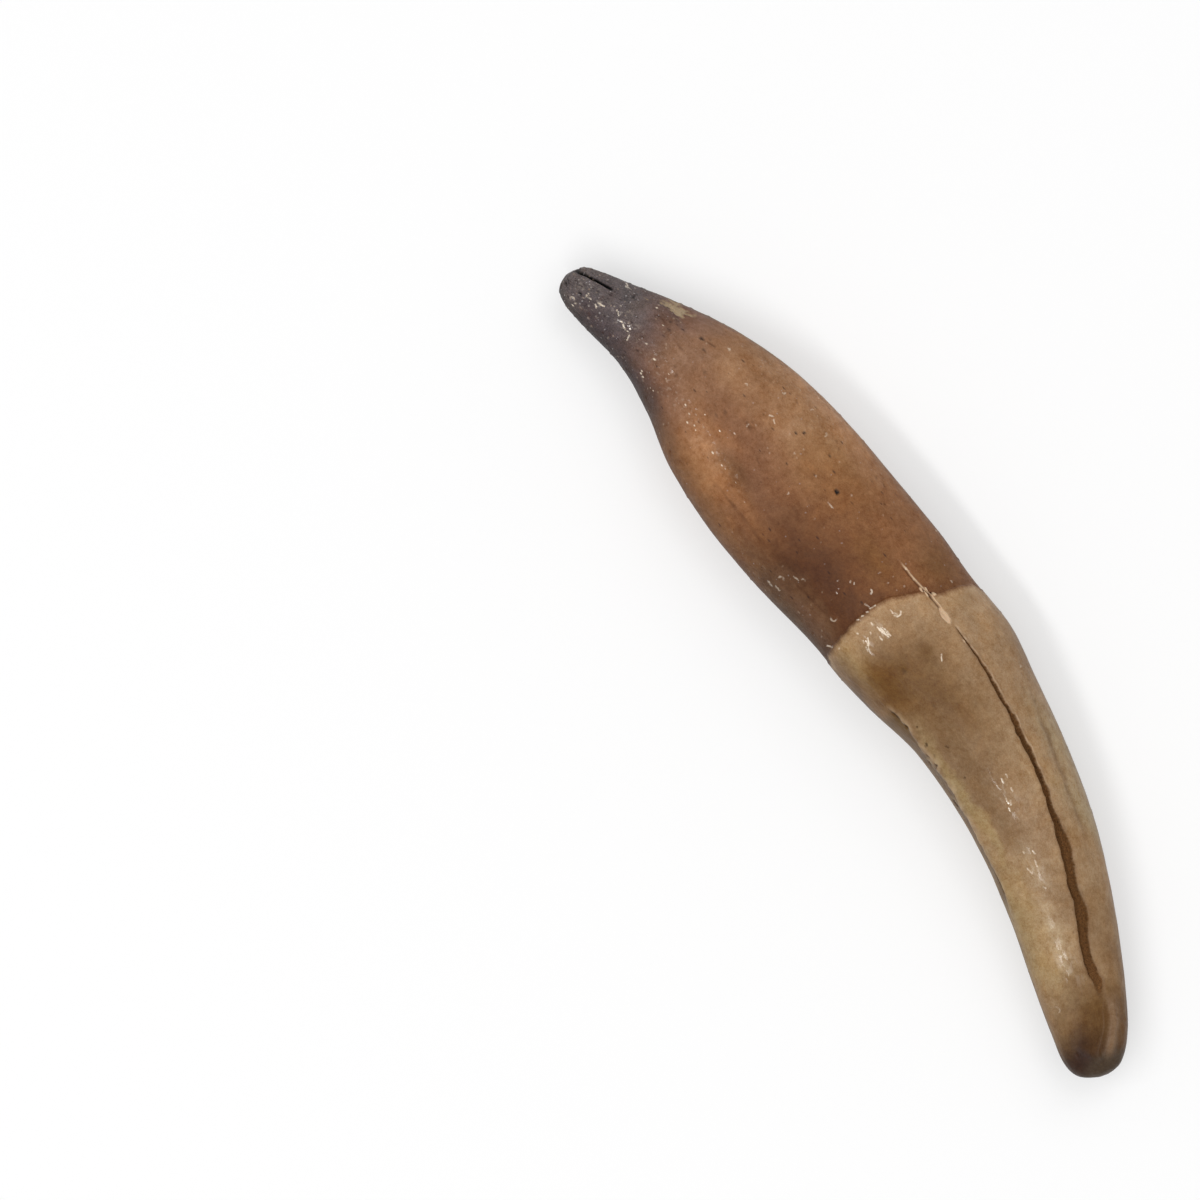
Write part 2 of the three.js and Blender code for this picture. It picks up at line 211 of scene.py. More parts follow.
GLINT_STREAKS = [  # the two ends of a low raised streak with a painted highlight (x, y, x, y), and how bright that highlight is
    (20.65, 6.16, 21.1, 6.2, 0.4), (14.1, 6.22, 14.3, 6.36, 0.4), (14.45, 6.26, 14.7, 6.2, 0.4),
    (32.5, 6.66, 32.85, 6.48, 0.7), (27.62, 4.6, 27.64, 5.0, 0.7), (27.2, 4.5, 27.5, 4.6, 0.35),
    (27.68, 4.3, 27.7, 4.36, 0.7), (27.72, 3.9, 27.74, 3.98, 0.6), (27.76, 3.5, 27.78, 3.6, 0.5),
    (25.7, 4.7, 25.78, 4.62, 0.7), (25.5, 4.55, 25.56, 4.5, 0.4), (23.3, 1.8, 23.65, 1.9, 0.4),
    (22.7, 0.32, 23.0, 0.34, 0.4), (23.15, 0.52, 23.5, 0.58, 0.4), (28.05, 1.12, 28.3, 1.3, 0.6),
    (28.6, 1.6, 28.62, 1.66, 0.5), (28.42, 5.6, 28.66, 5.62, 0.7), (28.85, 4.32, 29.3, 4.4, 1.0),
    (29.25, 4.42, 29.75, 4.56, 1.0), (29.05, 4.58, 29.4, 4.68, 0.9), (29.45, 4.7, 29.75, 4.7, 0.8),
    (28.4, 4.15, 28.62, 4.18, 0.8), (29.45, 4.12, 29.65, 4.12, 0.7), (29.1, 3.42, 29.4, 3.32, 1.0),
    (29.35, 3.3, 29.75, 3.08, 0.9), (29.5, 3.04, 29.75, 3.0, 0.6), (28.45, 3.06, 28.52, 3.1, 0.7),
    (28.85, 3.78, 29.0, 3.72, 0.6), (41.05, 5.42, 41.35, 5.4, 0.9), (41.0, 5.8, 41.2, 5.82, 0.6),
    (41.9, 5.6, 42.1, 5.56, 0.6), (42.3, 4.96, 42.6, 4.92, 0.8), (42.5, 5.14, 42.75, 5.02, 0.7),
    (42.85, 4.78, 43.05, 4.72, 0.7), (45.9, 4.5, 46.15, 4.55, 0.6), (46.5, 4.3, 46.9, 4.22, 0.5),
    (45.65, 4.0, 45.75, 4.0, 0.5), (46.65, 3.62, 47.1, 3.7, 0.6), (48.2, 3.8, 48.35, 3.9, 0.5),
    (2.2, 3.5, 2.5, 3.46, 0.7), (2.3, 3.34, 2.42, 3.38, 0.6), (2.2, 1.32, 2.6, 1.5, 0.9),
    (1.4, 0.98, 1.75, 1.08, 0.6), (2.2, 1.12, 2.4, 1.05, 0.7), (4.2, 1.84, 4.55, 1.8, 0.9),
    (3.25, 2.04, 3.5, 1.96, 0.7), (5.0, 1.8, 5.15, 1.5, 0.7), (29.0, 4.45, 29.35, 4.51, 1.0),
    (29.3, 4.6, 29.6, 4.62, 0.9), (29.15, 3.26, 29.4, 3.2, 0.8), (29.05, 3.12, 29.2, 3.08, 0.5),
    (28.68, 5.72, 28.9, 5.78, 0.4),
]
PIT_DEPTH = 0.13
BLISTER_RISE = 0.03
RING_HALF = 0.08
STREAK_HALF = 0.075
SCRATCH = [(31.35, 7.25), (31.9, 7.0), (32.5, 6.68)]
SCRATCH_DEPTH = 0.03

# Fineness of the skin
RINGS = 430
COLUMNS = 226

# Colours of the stains, as 8-bit display values
TAN = (146, 105, 74)
OCHRE = (160, 113, 76)
PALE_TAN = (166, 127, 94)
OLIVE = (138, 99, 55)
RUST = (121, 79, 49)
BROWN = (136, 97, 69)
BUFF_BROWN = (146, 110, 82)
UMBER = (80, 50, 34)
DRAB = (110, 84, 62)
MAUVE = (112, 84, 74)
ASH = (93, 85, 86)
DARK_ASH = (80, 69, 70)
PALE_ASH = (104, 97, 97)
ENAMEL = (160, 131, 99)
BUFF = (172, 140, 106)
HONEY = (160, 134, 95)
TOFFEE = (104, 71, 36)
HAZEL = (120, 90, 58)
DUN = (128, 101, 74)
FAWN = (134, 108, 84)
STRAW = (158, 134, 94)
# Pale bone, which on the crown also serves as painted sheen
BONE_AND_SHEEN = (186, 162, 130)
COCOA = (98, 70, 42)
SOOT = (48, 35, 22)
CRUST = (112, 79, 50)
PALE_CHIP = (214, 184, 152)
LICHEN = (190, 167, 137)
SHELF_SHADE_BROWN = (102, 76, 44)
# The colour of the shelf under the keel, painted as shade
SEAM_BROWN = (74, 53, 31)
PALE_OLIVE = (160, 140, 110)
CLAY = (126, 88, 65)
SANDY = (184, 139, 105)
SAND = (148, 119, 90)
SLATE = (74, 62, 51)
# The colour of the painted highlights and sheen
PAINTED_GLINT = (246, 228, 204)
FROST = (190, 182, 180)
INK = (26, 19, 16)


# --- Curves and random lines
def smooth(value, low, high):
    """0 below low, 1 above high and a smooth rise between them."""
    share = np.clip((value - low) / (high - low), 0, 1)
    return share * share * (3 - 2 * share)


def bell(distance, reach):
    return np.exp(-((distance / reach) ** 2))


def stretch(x, start, end, fade):
    """1 between start and end, fading to 0 over the given length inside them."""
    return smooth(x, start, start + fade) * (1 - smooth(x, end - fade, end))


def signed_power(value, power):
    return np.sign(value) * np.abs(value) ** power


def wander(x, step, seed):
    """A smooth random line between -1 and 1 that turns about every step millimetres."""
    knots = np.random.default_rng(seed).uniform(-1, 1, 1024)
    place = x / step + 20
    left = np.floor(place).astype(int)
    blend = smooth(place - left, 0, 1)
    return knots[left] * (1 - blend) + knots[left + 1] * blend


def rough(x, y, step, seed):
    """Smooth random heights between -1 and 1 over the plan, about step millimetres apart."""
    knots = np.random.default_rng(seed).uniform(-1, 1, (256, 256))
    across, up = x / step + 20, y / step + 60
    left, low = np.floor(across).astype(int), np.floor(up).astype(int)
    across, up = smooth(across - left, 0, 1), smooth(up - low, 0, 1)
    left, low = left % 255, low % 255
    lower = knots[left, low] * (1 - across) + knots[left + 1, low] * across
    upper = knots[left, low + 1] * (1 - across) + knots[left + 1, low + 1] * across
    return lower * (1 - up) + upper * up


def through(rows, t):
    """The smooth curve through the rows, at each t from 0 to 1."""
    ends = 2 * rows[0] - rows[1], 2 * rows[-1] - rows[-2]
    rows = np.vstack([ends[0], rows, ends[1]])
    last = len(rows) - 4
    place = np.clip(t, 0, 1) * (last + 1)
    first = np.minimum(place.astype(int), last)
    f = (place - first)[..., None]
    a, b, c, d = (rows[first + step] for step in range(4))
    return b + 0.5 * f * (c - a + f * (2 * a - 5 * b + 4 * c - d + f * (3 * (b - c) + d - a)))


def to_line(x, y, points):
    """Distance in plan to a line of points, positive on its left, and the share run along it."""
    nearest = np.full(x.shape, np.inf)
    signed, run = np.zeros(x.shape), np.zeros(x.shape)
    lengths = [math.dist(a, b) for a, b in zip(points, points[1:])]
    walked = 0
    for (ax, ay), (bx, by), length in zip(points, points[1:], lengths):
        ux, uy = (bx - ax) / length, (by - ay) / length
        at = np.clip((x - ax) * ux + (y - ay) * uy, 0, length)
        off_x, off_y = x - ax - at * ux, y - ay - at * uy
        distance = np.hypot(off_x, off_y)
        closer = distance < nearest
        nearest = np.where(closer, distance, nearest)
        signed = np.where(closer, distance * np.sign(ux * off_y - uy * off_x), signed)
        run = np.where(closer, (walked + at) / sum(lengths), run)
        walked += length
    return signed, run


# --- The plain form
def section_at(t):
    """Middle, way across to the convex edge, half thickness and dip of the section at each t."""
    convex = through(SECTIONS[:, 0:2], t)
    concave = through(SECTIONS[:, 2:4], t)
    depths = through(SECTIONS[:, 4:6], t)
    middle = (convex + concave) / 2
    return middle, convex - middle, depths[..., 0], depths[..., 1]


STATIONS = np.linspace(0, 1, 8001)
STATION_MIDDLES = section_at(STATIONS)[0]
STATION_X = STATION_MIDDLES[:, 0]
STATION_STEPS = np.linalg.norm(np.diff(STATION_MIDDLES, axis=0), axis=1)
STATION_RUN = np.concatenate([[0], np.cumsum(STATION_STEPS)])


def station_of(x):
    return np.interp(x, STATION_X, STATIONS)


def share_of(x, y):
    """The share across the tooth (-1 to 1) of a point of the plan, and its place along it."""
    middle, across, _, _ = section_at(STATIONS[100:-100])
    off = np.array([x, y]) - middle
    side = across[:, 0] * off[:, 1] - across[:, 1] * off[:, 0]
    at = np.argmin(np.abs(side) / np.linalg.norm(across, axis=1))
    share = off[at] @ across[at] / (across[at] @ across[at])
    return middle[at, 0], np.clip(share, -1, 1)


def collar_x(angle):
    """The collar's place along the tooth at each angle. It steps towards the tip at the crack."""
    even = COLLAR_X + COLLAR_TILT * np.cos(angle) + COLLAR_WAVE * np.cos(2 * angle)
    past_crack = np.angle(np.exp(1j * (angle - COLLAR_CRACK_ANGLE)))
    turns = np.random.default_rng(11).uniform(0, 2 * math.pi, 40)
    ragged = sum(np.sin(waves * angle + turns[waves]) / waves ** 0.5 for waves in range(9, 38))
    hooked = COLLAR_HOOK * smooth(np.abs(np.cos(angle)), 0.93, 1.0)
    return even + np.interp(past_crack, *COLLAR_STEP.T) + hooked + COLLAR_RAGGED * ragged


def crack_angles(x):
    """The angle round the tooth at which the crack's line lies, for each place along it."""
    found = np.array([share_of(*point) for point in CRACK_LINE[1:-1]])
    angles = np.arccos(signed_power(found[:, 1], FULLNESS / 2))
    return np.interp(x, found[:, 0], angles)


COLLAR_CRACK_ANGLE = crack_angles(COLLAR_X)


def ring_stations():
    """Where the rings of the skin go: evenly along its two edges, and closer at the ledge."""
    convex = through(SECTIONS[:, 0:2], STATIONS)
    concave = through(SECTIONS[:, 2:4], STATIONS)
    walked = sum(np.linalg.norm(np.diff(edge, axis=0), axis=1) for edge in (convex, concave)) / 2
    closeness = 1 + 2 * bell(STATION_X[1:] - COLLAR_X, 0.5) + 0.5 * bell(STATION_X[1:] - COLLAR_X, 3)
    count = np.concatenate([[0], np.cumsum(walked * closeness)])
    return np.interp(np.linspace(0, count[-1], RINGS + 2)[1:-1], count, STATIONS)


def column_turns():
    """How far round from the crack each column runs, with the closest columns beside it."""
    turn = np.linspace(-math.pi, math.pi, 4001)
    closeness = 0.5 + 0.65 * bell(turn - 0.4, 1.4) + 3.2 * bell(turn, 0.1) + 0.9 * bell(turn, 0.3)
    count = np.concatenate([[0], np.cumsum(closeness[1:])])
    return np.interp(np.linspace(0, count[-1], COLUMNS + 1)[:-1], count, turn)


def tooth_form():
    """The plain form as a grid of points, with what each point needs for its relief."""
    start = ring_stations()
    x = np.interp(start, STATIONS, STATION_X)[:, None]
    angle = crack_angles(x) + column_turns()[None, :]
    lean = 1 - smooth(np.abs(x - COLLAR_X), 0, COLLAR_REACH)
    leaning = station_of(x + lean * (collar_x(angle) - COLLAR_X))
    t = np.where(lean > 0, leaning, start[:, None])
    middle, across, half, dip = section_at(t)
    share = signed_power(np.cos(angle), 2 / FULLNESS)
    lift = signed_power(np.sin(angle), 2 / FULLNESS)
    breadth = np.linalg.norm(across, axis=-1)
    point = np.empty(angle.shape + (3,))
    point[..., :2] = middle + across * share[..., None]
    point[..., 2] = lift * half - dip
    place = {
        "x": point[..., 0],
        "y": point[..., 1],
        "along": middle[..., 0],
        "share": share,
        "lift": lift,
        "top": smooth(lift, 0, 0.12),
        "face": smooth(lift, 0, 0.75),
        "past_collar": middle[..., 0] - collar_x(angle),
        "breadth": breadth,
        "straight": np.stack([np.interp(t, STATIONS, STATION_RUN), share * breadth, lift * half], -1),
    }
    return point, place


def outward(point):
    """The outward direction at each point of a closed grid."""
    along = np.gradient(point, axis=0)
    around = np.roll(point, -1, axis=1) - np.roll(point, 1, axis=1)
    normal = np.cross(around, along)
    return normal / np.linalg.norm(normal, axis=-1, keepdims=True)


# --- Relief: each function gives heights in millimetres, and the masks that its finish needs
def swelling(place, height, x, reach, share, share_reach):
    """A rounded swelling of the tooth's side."""
    return height * bell(place["along"] - x, reach) * bell(place["share"] - share, share_reach)


def low_forms(place):
    """Heights of the ledge, shoulder, keel, furrow and flute."""
    x, share = place["along"], place["share"]
    ledge = LEDGE_RISE * (smooth(place["past_collar"], -LEDGE_RUN / 2, LEDGE_RUN / 2) - 0.5)
    ledge = ledge * (0.3 + 0.7 * smooth(np.abs(share), 1, 0.85))
    knuckle = swelling(place, *KNUCKLE) - swelling(place, *BEHIND_KNUCKLE)
    keel = bell(share + 0.84, 0.12) - 0.5 * bell(share + 0.58, 0.16)
    keel = KEEL_RISE * stretch(x, *KEEL_RUN) * keel
    furrow = -FURROW_DEPTH * stretch(x, *FURROW_RUN) * bell(share - 0.76, 0.14)
    flute = -FLUTE_DEPTH * stretch(x, *FLUTE_RUN) * bell(share, 0.35) * place["top"]
    whole = ledge + swelling(place, *SHOULDER) + knuckle + keel + furrow + flute
    return whole * smooth(place["breadth"], 0, 1.5)


def worn_tip(place):
    """The ridge that goes on from the crack's upper wall to the tip, and the hollow under it."""
    off, run = to_line(place["x"], place["y"], RIDGE)
    off = off + 0.05 * wander(place["x"], 0.8, 10)
    ridge = bell(off, RIDGE_HALF) * stretch(run, 0.02, 0.98, 0.25) * place["top"]
    hollow = smooth(-off, *HOLLOW_WALL) * smooth(-off, HOLLOW_REACH, HOLLOW_WALL[1])
    hollow = hollow * smooth(run, 0, 0.35) * (1 - smooth(run, 0.93, 1)) * place["face"]
    return RIDGE_RISE * ridge - HOLLOW_DEPTH * hollow, {"hollow": hollow, "ridge": ridge}


def crack(place):
    """The long crack, with a fairly even lower wall and a jagged, chipped upper one."""
    x, y = place["x"], place["y"]
    line = np.interp(x, *CRACK_LINE.T)
    slope = (np.interp(x + 0.3, *CRACK_LINE.T) - np.interp(x - 0.3, *CRACK_LINE.T)) / 0.6
    off = (y - line) / np.hypot(1, slope) + 0.03 * wander(x, 0.35, 2) * (1 - smooth(x, 36, 40))
    half = np.interp(x, *CRACK_WIDTHS.T) / 2
    opened = smooth(half, 0.02, 0.2)
    jagged = 0.09 * wander(x, 1.7, 4) + 0.13 * (np.abs(wander(x, 0.8, 3)) - 0.45) + 0.05 * wander(x, 0.25, 5)
    upper = half + jagged * (0.3 + 0.5 * opened)
    lower = -half + (0.06 * wander(x, 1.8, 6) + 0.06 * wander(x, 0.4, 9)) * opened
    here = smooth(x, CRACK_START, CRACK_START + 0.6) * smooth(x, CRACK_END, CRACK_END - 2) * place["top"]
    wall = CRACK_WALL * (0.35 + 0.65 * opened) + 0.3 * smooth(x, 54.3, 57)
    floor = smooth(off, lower - wall / 2, lower + wall)
    floor = floor * (1 - smooth(off, upper - wall, upper + wall / 2)) * here
    crumbs = 0.06 * rough(x, y, 0.16, 21) + 0.05 * rough(x, y, 0.4, 22)
    depth = np.interp(x, *CRACK_DEPTHS.T) * (1 + crumbs)
    lip = bell(off - upper - 0.05, 0.06) * here * (0.55 + 0.45 * wander(x, 0.35, 7))
    lip = lip * (1 - smooth(x, 39, 46)) * (1 - floor)
    spill = bell(off - upper - 0.02, 0.1) * here * smooth(wander(x, 0.5, 8), 0.1, 0.6)
    height = CRACK_LIP_RISE * lip - depth * floor - CRACK_SPILL_DEPTH * spill * (1 - floor)
    inside = np.clip(np.minimum(off - lower, upper - off), -CRACK_EDGE, CRACK_EDGE)
    inside = inside * here - CRACK_EDGE * (1 - here)
    return height, {"crack_floor": floor, "in_crack": inside, "lip": lip}


def oval(place, x, y, half_length, half_width, slope=0.0):
    """Distance from the middle of an oval in plan: 1 at its rim."""
    along, across = place["x"] - x, place["y"] - y
    turned = along / math.hypot(1, slope), across - slope * along
    return np.hypot(turned[0] / half_length, turned[1] / half_width)


def hairline(place):
    """The thread, chips and scar at the crack's root end."""
    x, y = place["x"], place["y"]
    off, run = to_line(x, y, THREAD)
    off = off + 0.02 * wander(x, 0.3, 12)
    thread = bell(off, THREAD_HALF) * stretch(run, 0.01, 0.99, 0.12) * place["top"]
    shadow = bell(off + 0.11, 0.05) * stretch(run, 0.05, 0.95, 0.1) * place["top"]
    pale = thread * (0.75 + 0.25 * wander(x, 0.4, 13))
    height = THREAD_RISE * thread - THREAD_RISE * shadow
    for chip in CHIPS:
        block = (1 - smooth(oval(place, *chip) + 0.25 * rough(x, y, 0.12, 14), 0.7, 1.1)) * place["top"]
        height = height + CHIP_RISE * block
        pale = np.maximum(pale, block)
    scar = (1 - smooth(oval(place, *SCAR) + 0.12 * wander(x, 0.3, 15), 0.82, 1.0)) * place["top"]
    height = height - SCAR_DEPTH * scar
    return height, {"chip": np.maximum(pale, 0.85 * scar), "shadow": shadow}


def root_slit(place):
    """The slit that runs in from the root's end, with a low lip beside it."""
    off, run = to_line(place["x"], place["y"], SLIT)
    half = SLIT_HALF * (1 - 0.75 * run) * (1 + 0.35 * wander(place["x"], 0.3, 16))
    slit = (1 - smooth(np.abs(off), half, half + 0.1)) * (1 - smooth(run, 0.85, 1))
    slit = slit * smooth(place["straight"][..., 2], -0.4, 0.2)
    lip = bell(off + half + 0.12, 0.07) * stretch(run, 0.1, 0.95, 0.2) * place["top"]
    return 0.03 * lip - SLIT_DEPTH * (1 - 0.6 * run) * slit, {"slit": smooth(slit, 0.05, 0.6)}


def flaked_patch(place):
    """The ragged patch where a flake has come off, with flecks about it."""
    x, y = place["x"], place["y"]
    ragged = 0.75 * rough(x * 0.45, y - 0.4 * x, 0.22, 17) + 0.35 * rough(x, y, 0.12, 18)
    patch = 1 - smooth(oval(place, *FLAKE, FLAKE_SLOPE) + ragged, 0.85, 1.1)
    flecks = smooth(rough(x * 0.5, y - 0.4 * x, 0.17, 19), 0.55, 0.75)
    flecks = flecks * (1 - smooth(oval(place, 4.6, 4.75, 1.5, 0.55, FLAKE_SLOPE), 0.7, 1.2))
    flake = np.maximum(patch, 0.8 * flecks) * place["top"]
    return (0.03 * rough(x, y, 0.2, 20) - FLAKE_DEPTH) * flake, {"flake": flake}


def thin_lines(place):
    """The keel's broken seams, with a raised lip above each, and the fine lines and scratch."""
    x, y = place["x"], place["y"]
    near, lip, faint = (np.zeros(x.shape) for _ in range(3))
    for order, (line, strength, rim) in enumerate(SEAMS):
        off, run = to_line(x, y, line)
        off = off + 0.03 * wander(x, 0.4, 30 + order)
        on_line = 0.6 + 0.4 * stretch(run, 0, 1, 0.35)
        near = np.maximum(near, np.clip(1 - np.abs(off) / SEAM_REACH, 0, 1) * on_line * strength)
        lip = np.maximum(lip, bell(off - 0.14, 0.09) * on_line * rim)
    groove = smooth(near + 0.2 * rough(x, y, 0.3, 44), 0.65, 0.9)
    off, run = to_line(x, y, SHELF)
    off = off + 0.05 * wander(x, 0.9, 45) + 0.04 * rough(x, y, 0.3, 46)
    # The shelf under the keel: a low step, which the finish also darkens as painted shade
    shaded_shelf = smooth(-off, -0.03, 0.1) * stretch(run, 0, 1, 0.08) * smooth(place["lift"], 0, 0.4)
    crest = bell(off - 0.16, 0.14) * stretch(run, 0.02, 0.7, 0.1) * smooth(rough(x, y, 0.4, 47), -0.3, 0.4)
    lip = np.maximum(lip * (0.5 + 0.5 * wander(x, 0.4, 43)), crest) * (1 - groove)
    for line in ROOT_LINES:
        off, run = to_line(x, y, line)
        faint = np.maximum(faint, bell(off, 0.07) * stretch(run, 0, 1, 0.2))
    off, run = to_line(x, y, FURROW_LINE)
    off = off + 0.08 * wander(x, 0.9, 48)
    furrow = bell(off, 0.17) * stretch(run, 0, 1, 0.25) * (0.7 + 0.3 * wander(x, 0.7, 49))
    faint = faint * (0.6 + 0.4 * wander(x, 0.5, 41))
    off, run = to_line(x, y, SCRATCH)
    scratch = bell(off, 0.05) * stretch(run, 0, 1, 0.3)
    height = SEAM_RELIEF * lip - SEAM_RELIEF * groove - SHELF_DROP * shaded_shelf
    height = height - FAINT_DEPTH * faint - SCRATCH_DEPTH * scratch - FURROW_LINE_DEPTH * furrow
    masks = {"near_seam": near, "shaded_shelf": shaded_shelf, "seam_lip": lip,
             "faint_line": np.maximum(faint, 0.5 * furrow)}
    return height * place["top"], {name: mask * place["top"] for name, mask in masks.items()}


def small_marks(place):
    """Pits, ring-shaped blisters and low streaks."""
    x, y = place["x"], place["y"]
    pit = np.zeros(x.shape)
    for pit_x, pit_y, radius, strength in PITS:
        away = oval(place, pit_x, pit_y, radius * 1.3, radius) + 0.25 * rough(x, y, 0.1, 51)
        pit = np.maximum(pit, strength * (1 - smooth(away, 0.4, 1.3)))
    blister = np.zeros(x.shape)
    for blister_x, blister_y, radius, *_ in BLISTERS:
        away = np.hypot(x - blister_x, y - blister_y)
        blister = np.maximum(blister, bell(away - radius, 0.075))
    for from_x, from_y, to_x, to_y, _ in GLINT_STREAKS:
        off, _ = to_line(x, y, [(from_x, from_y), (to_x, to_y)])
        blister = np.maximum(blister, bell(off, 0.06))
    pit, blister = pit * place["top"], blister * place["top"]
    return BLISTER_RISE * blister - PIT_DEPTH * pit, {"pit": pit}


# --- The skin
def add_attribute(mesh, name, values):
    """Stores a value for each point of the grid, and the mean of each end ring at its pole."""
    width = values.shape[2] if values.ndim == 3 else 1
    rows = values.reshape(values.shape[0], values.shape[1], width)
    ends = np.stack([rows[0].mean(0), rows[-1].mean(0)])
    kind, field = ("FLOAT_VECTOR", "vector") if width == 3 else ("FLOAT", "value")
    attribute = mesh.attributes.new(name, kind, "POINT")
    filled = np.vstack([rows.reshape(-1, width), ends]).astype(np.float32)
    attribute.data.foreach_set(field, filled.ravel())


def grid_faces(rings, columns):
    """Quads over a closed grid, with a fan of triangles at each of its two poles."""
    ring, column = np.mgrid[0:rings - 1, 0:columns]
    beyond = (column + 1) % columns
    corners = [ring * columns + column, ring * columns + beyond,
               (ring + 1) * columns + beyond, (ring + 1) * columns + column]
    faces = np.stack(corners, -1).reshape(-1, 4).tolist()
    first, last, end = rings * columns, rings * columns + 1, (rings - 1) * columns
    for side in range(columns):
        following = (side + 1) % columns
        faces.append((first, following, side))
        faces.append((last, end + side, end + following))
    return faces


def skin_mesh():
    """The tooth's skin with all of its named relief, and the way from the plan to the frame."""
    point, place = tooth_form()
    normal = outward(point)
    plain = point + normal * low_forms(place)[..., None]
    height = low_forms(place)
    masks = {}
    for relief in (worn_tip, crack, hairline, root_slit, flaked_patch, thin_lines, small_marks):
        rise, its_masks = relief(place)
        height = height + rise
        masks.update(its_masks)
    surface = point + normal * height[..., None]

    low, high = plain.reshape(-1, 3).min(0), plain.reshape(-1, 3).max(0)
    flat = low[2] + REST_FLAT_DEPTH
    surface[..., 2] = np.maximum(surface[..., 2], flat)
    node_low, node_high = (np.array(corner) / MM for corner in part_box("tooth"))
    shift = (node_low + node_high) / 2 - (low + high) / 2
    shift[2] = node_low[2] - flat

    poles = [np.append(SECTIONS[end, :2], -SECTIONS[end, 5]) for end in (0, -1)]
    vertices = np.vstack([surface.reshape(-1, 3), poles]) + shift
    mesh = bpy.data.meshes.new("tooth_skin")
    mesh.from_pydata((vertices * MM).tolist(), [], grid_faces(*point.shape[:2]))
    mesh.shade_smooth()
    for name, values in masks.items():
        add_attribute(mesh, name, values)
    add_attribute(mesh, "past_collar", place["past_collar"])
    add_attribute(mesh, "straight", place["straight"])
    # Masks for painted shade: darker towards the concave lower rim, and down the sides where the tooth turns
    # under
    add_attribute(mesh, "painted_lower_shade", smooth(-place["share"], 0.6, 0.98) * place["top"])
    add_attribute(mesh, "side", 1 - smooth(place["lift"], 0.05, 0.4))
    add_attribute(mesh, "clear_of_rest", smooth(surface[..., 2] - flat, 0.02, 0.5))
    mesh.update()
    return mesh, shift


# --- Node trees
class Graph:
    """Adds nodes to a tree. An input is fed by another node's output, or holds a plain value."""

    def __init__(self, tree):
        self.tree = tree

    def add(self, kind, inputs=(), **settings):
        node = self.tree.nodes.new(kind)
        for name, value in settings.items():
            setattr(node, name, value)
        for name, value in dict(inputs).items():
            self.feed(node.inputs[name], value)
        return node

    def feed(self, socket, value):
        if isinstance(value, bpy.types.NodeSocket):
            self.tree.links.new(value, socket)
        else:
            socket.default_value = value

    def math(self, operation, first, second=0.0, third=0.0):
        values = {0: first, 1: second, 2: third}
        return self.add("ShaderNodeMath", values, operation=operation).outputs[0]

    def times(self, product, *values):
        for value in values:
            product = self.math("MULTIPLY", product, value)
        return product

    def largest(self, value, *others):
        for other in others:
            value = self.math("MAXIMUM", value, other)
        return value

    def less(self, mask):
        """One less a mask."""
        return self.math("SUBTRACT", 1.0, mask)

    def vector(self, operation, first, second=(0, 0, 0)):
        node = self.add("ShaderNodeVectorMath", {0: first}, operation=operation)
        if operation == "SCALE":
            self.feed(node.inputs["Scale"], second)
        else:
            self.feed(node.inputs[1], second)
        is_number = operation in ("LENGTH", "DISTANCE", "DOT_PRODUCT")
        return node.outputs["Value" if is_number else "Vector"]

    def ramp(self, value, low, high, start=0.0, end=1.0):
        """Start below low, end above high, and smooth between them."""
        inputs = {"Value": value, "From Min": low, "From Max": high, "To Min": start, "To Max": end}
        return self.add("ShaderNodeMapRange", inputs, interpolation_type="SMOOTHSTEP").outputs["Result"]

    def noise(self, place, scale, detail=2.0, roughness=0.5):
        """A noise that runs from -0.5 to 0.5, about 1 / scale millimetres in size."""
        inputs = {"Vector": place, "Scale": scale, "Detail": detail, "Roughness": roughness}
        value = self.add("ShaderNodeTexNoise", inputs).outputs["Fac"]
        return self.math("SUBTRACT", value, 0.5)

    def mix(self, mask, first, second):
        node = self.add("ShaderNodeMix", data_type="RGBA")
        sockets = {socket.identifier: socket for socket in node.inputs}
        self.feed(sockets["Factor_Float"], mask)
        self.feed(sockets["A_Color"], first)
        self.feed(sockets["B_Color"], second)
        return next(socket for socket in node.outputs if socket.identifier == "Result_Color")


def new_group(name, kind, inputs, output):
    """An empty node group with one output. An input is given by its type, or by its plain value."""
    tree = bpy.data.node_groups.new(name, kind)
    for socket_name, given in inputs.items():
        holds = given if isinstance(given, str) else type(given).__name__.title()
        socket = tree.interface.new_socket(socket_name, in_out="INPUT", socket_type="NodeSocket" + holds)
        if holds != given:
            socket.default_value = given
    tree.interface.new_socket(output[0], in_out="OUTPUT", socket_type="NodeSocket" + output[1])
    graph = Graph(tree)
    return graph, graph.add("NodeGroupInput").outputs, graph.add("NodeGroupOutput").inputs


# --- Geometry Nodes: the fine lumps, ripples, grains and pits over the skin
RELIEF = {  # millimetres, and dots in a square millimetre
    "Lump Height": 0.035, "Lump Size": 2.4,
    "Ripple Height": 0.02, "Ripple Size": 0.75,
    "Grit Height": 0.02, "Grit Size": 0.5,
    "Grain Height": 0.045, "Grain Reach": 0.17, "Grains": 0.35,
    "Pit Depth": 0.06, "Pit Reach": 0.16, "Pits": 0.16,
}


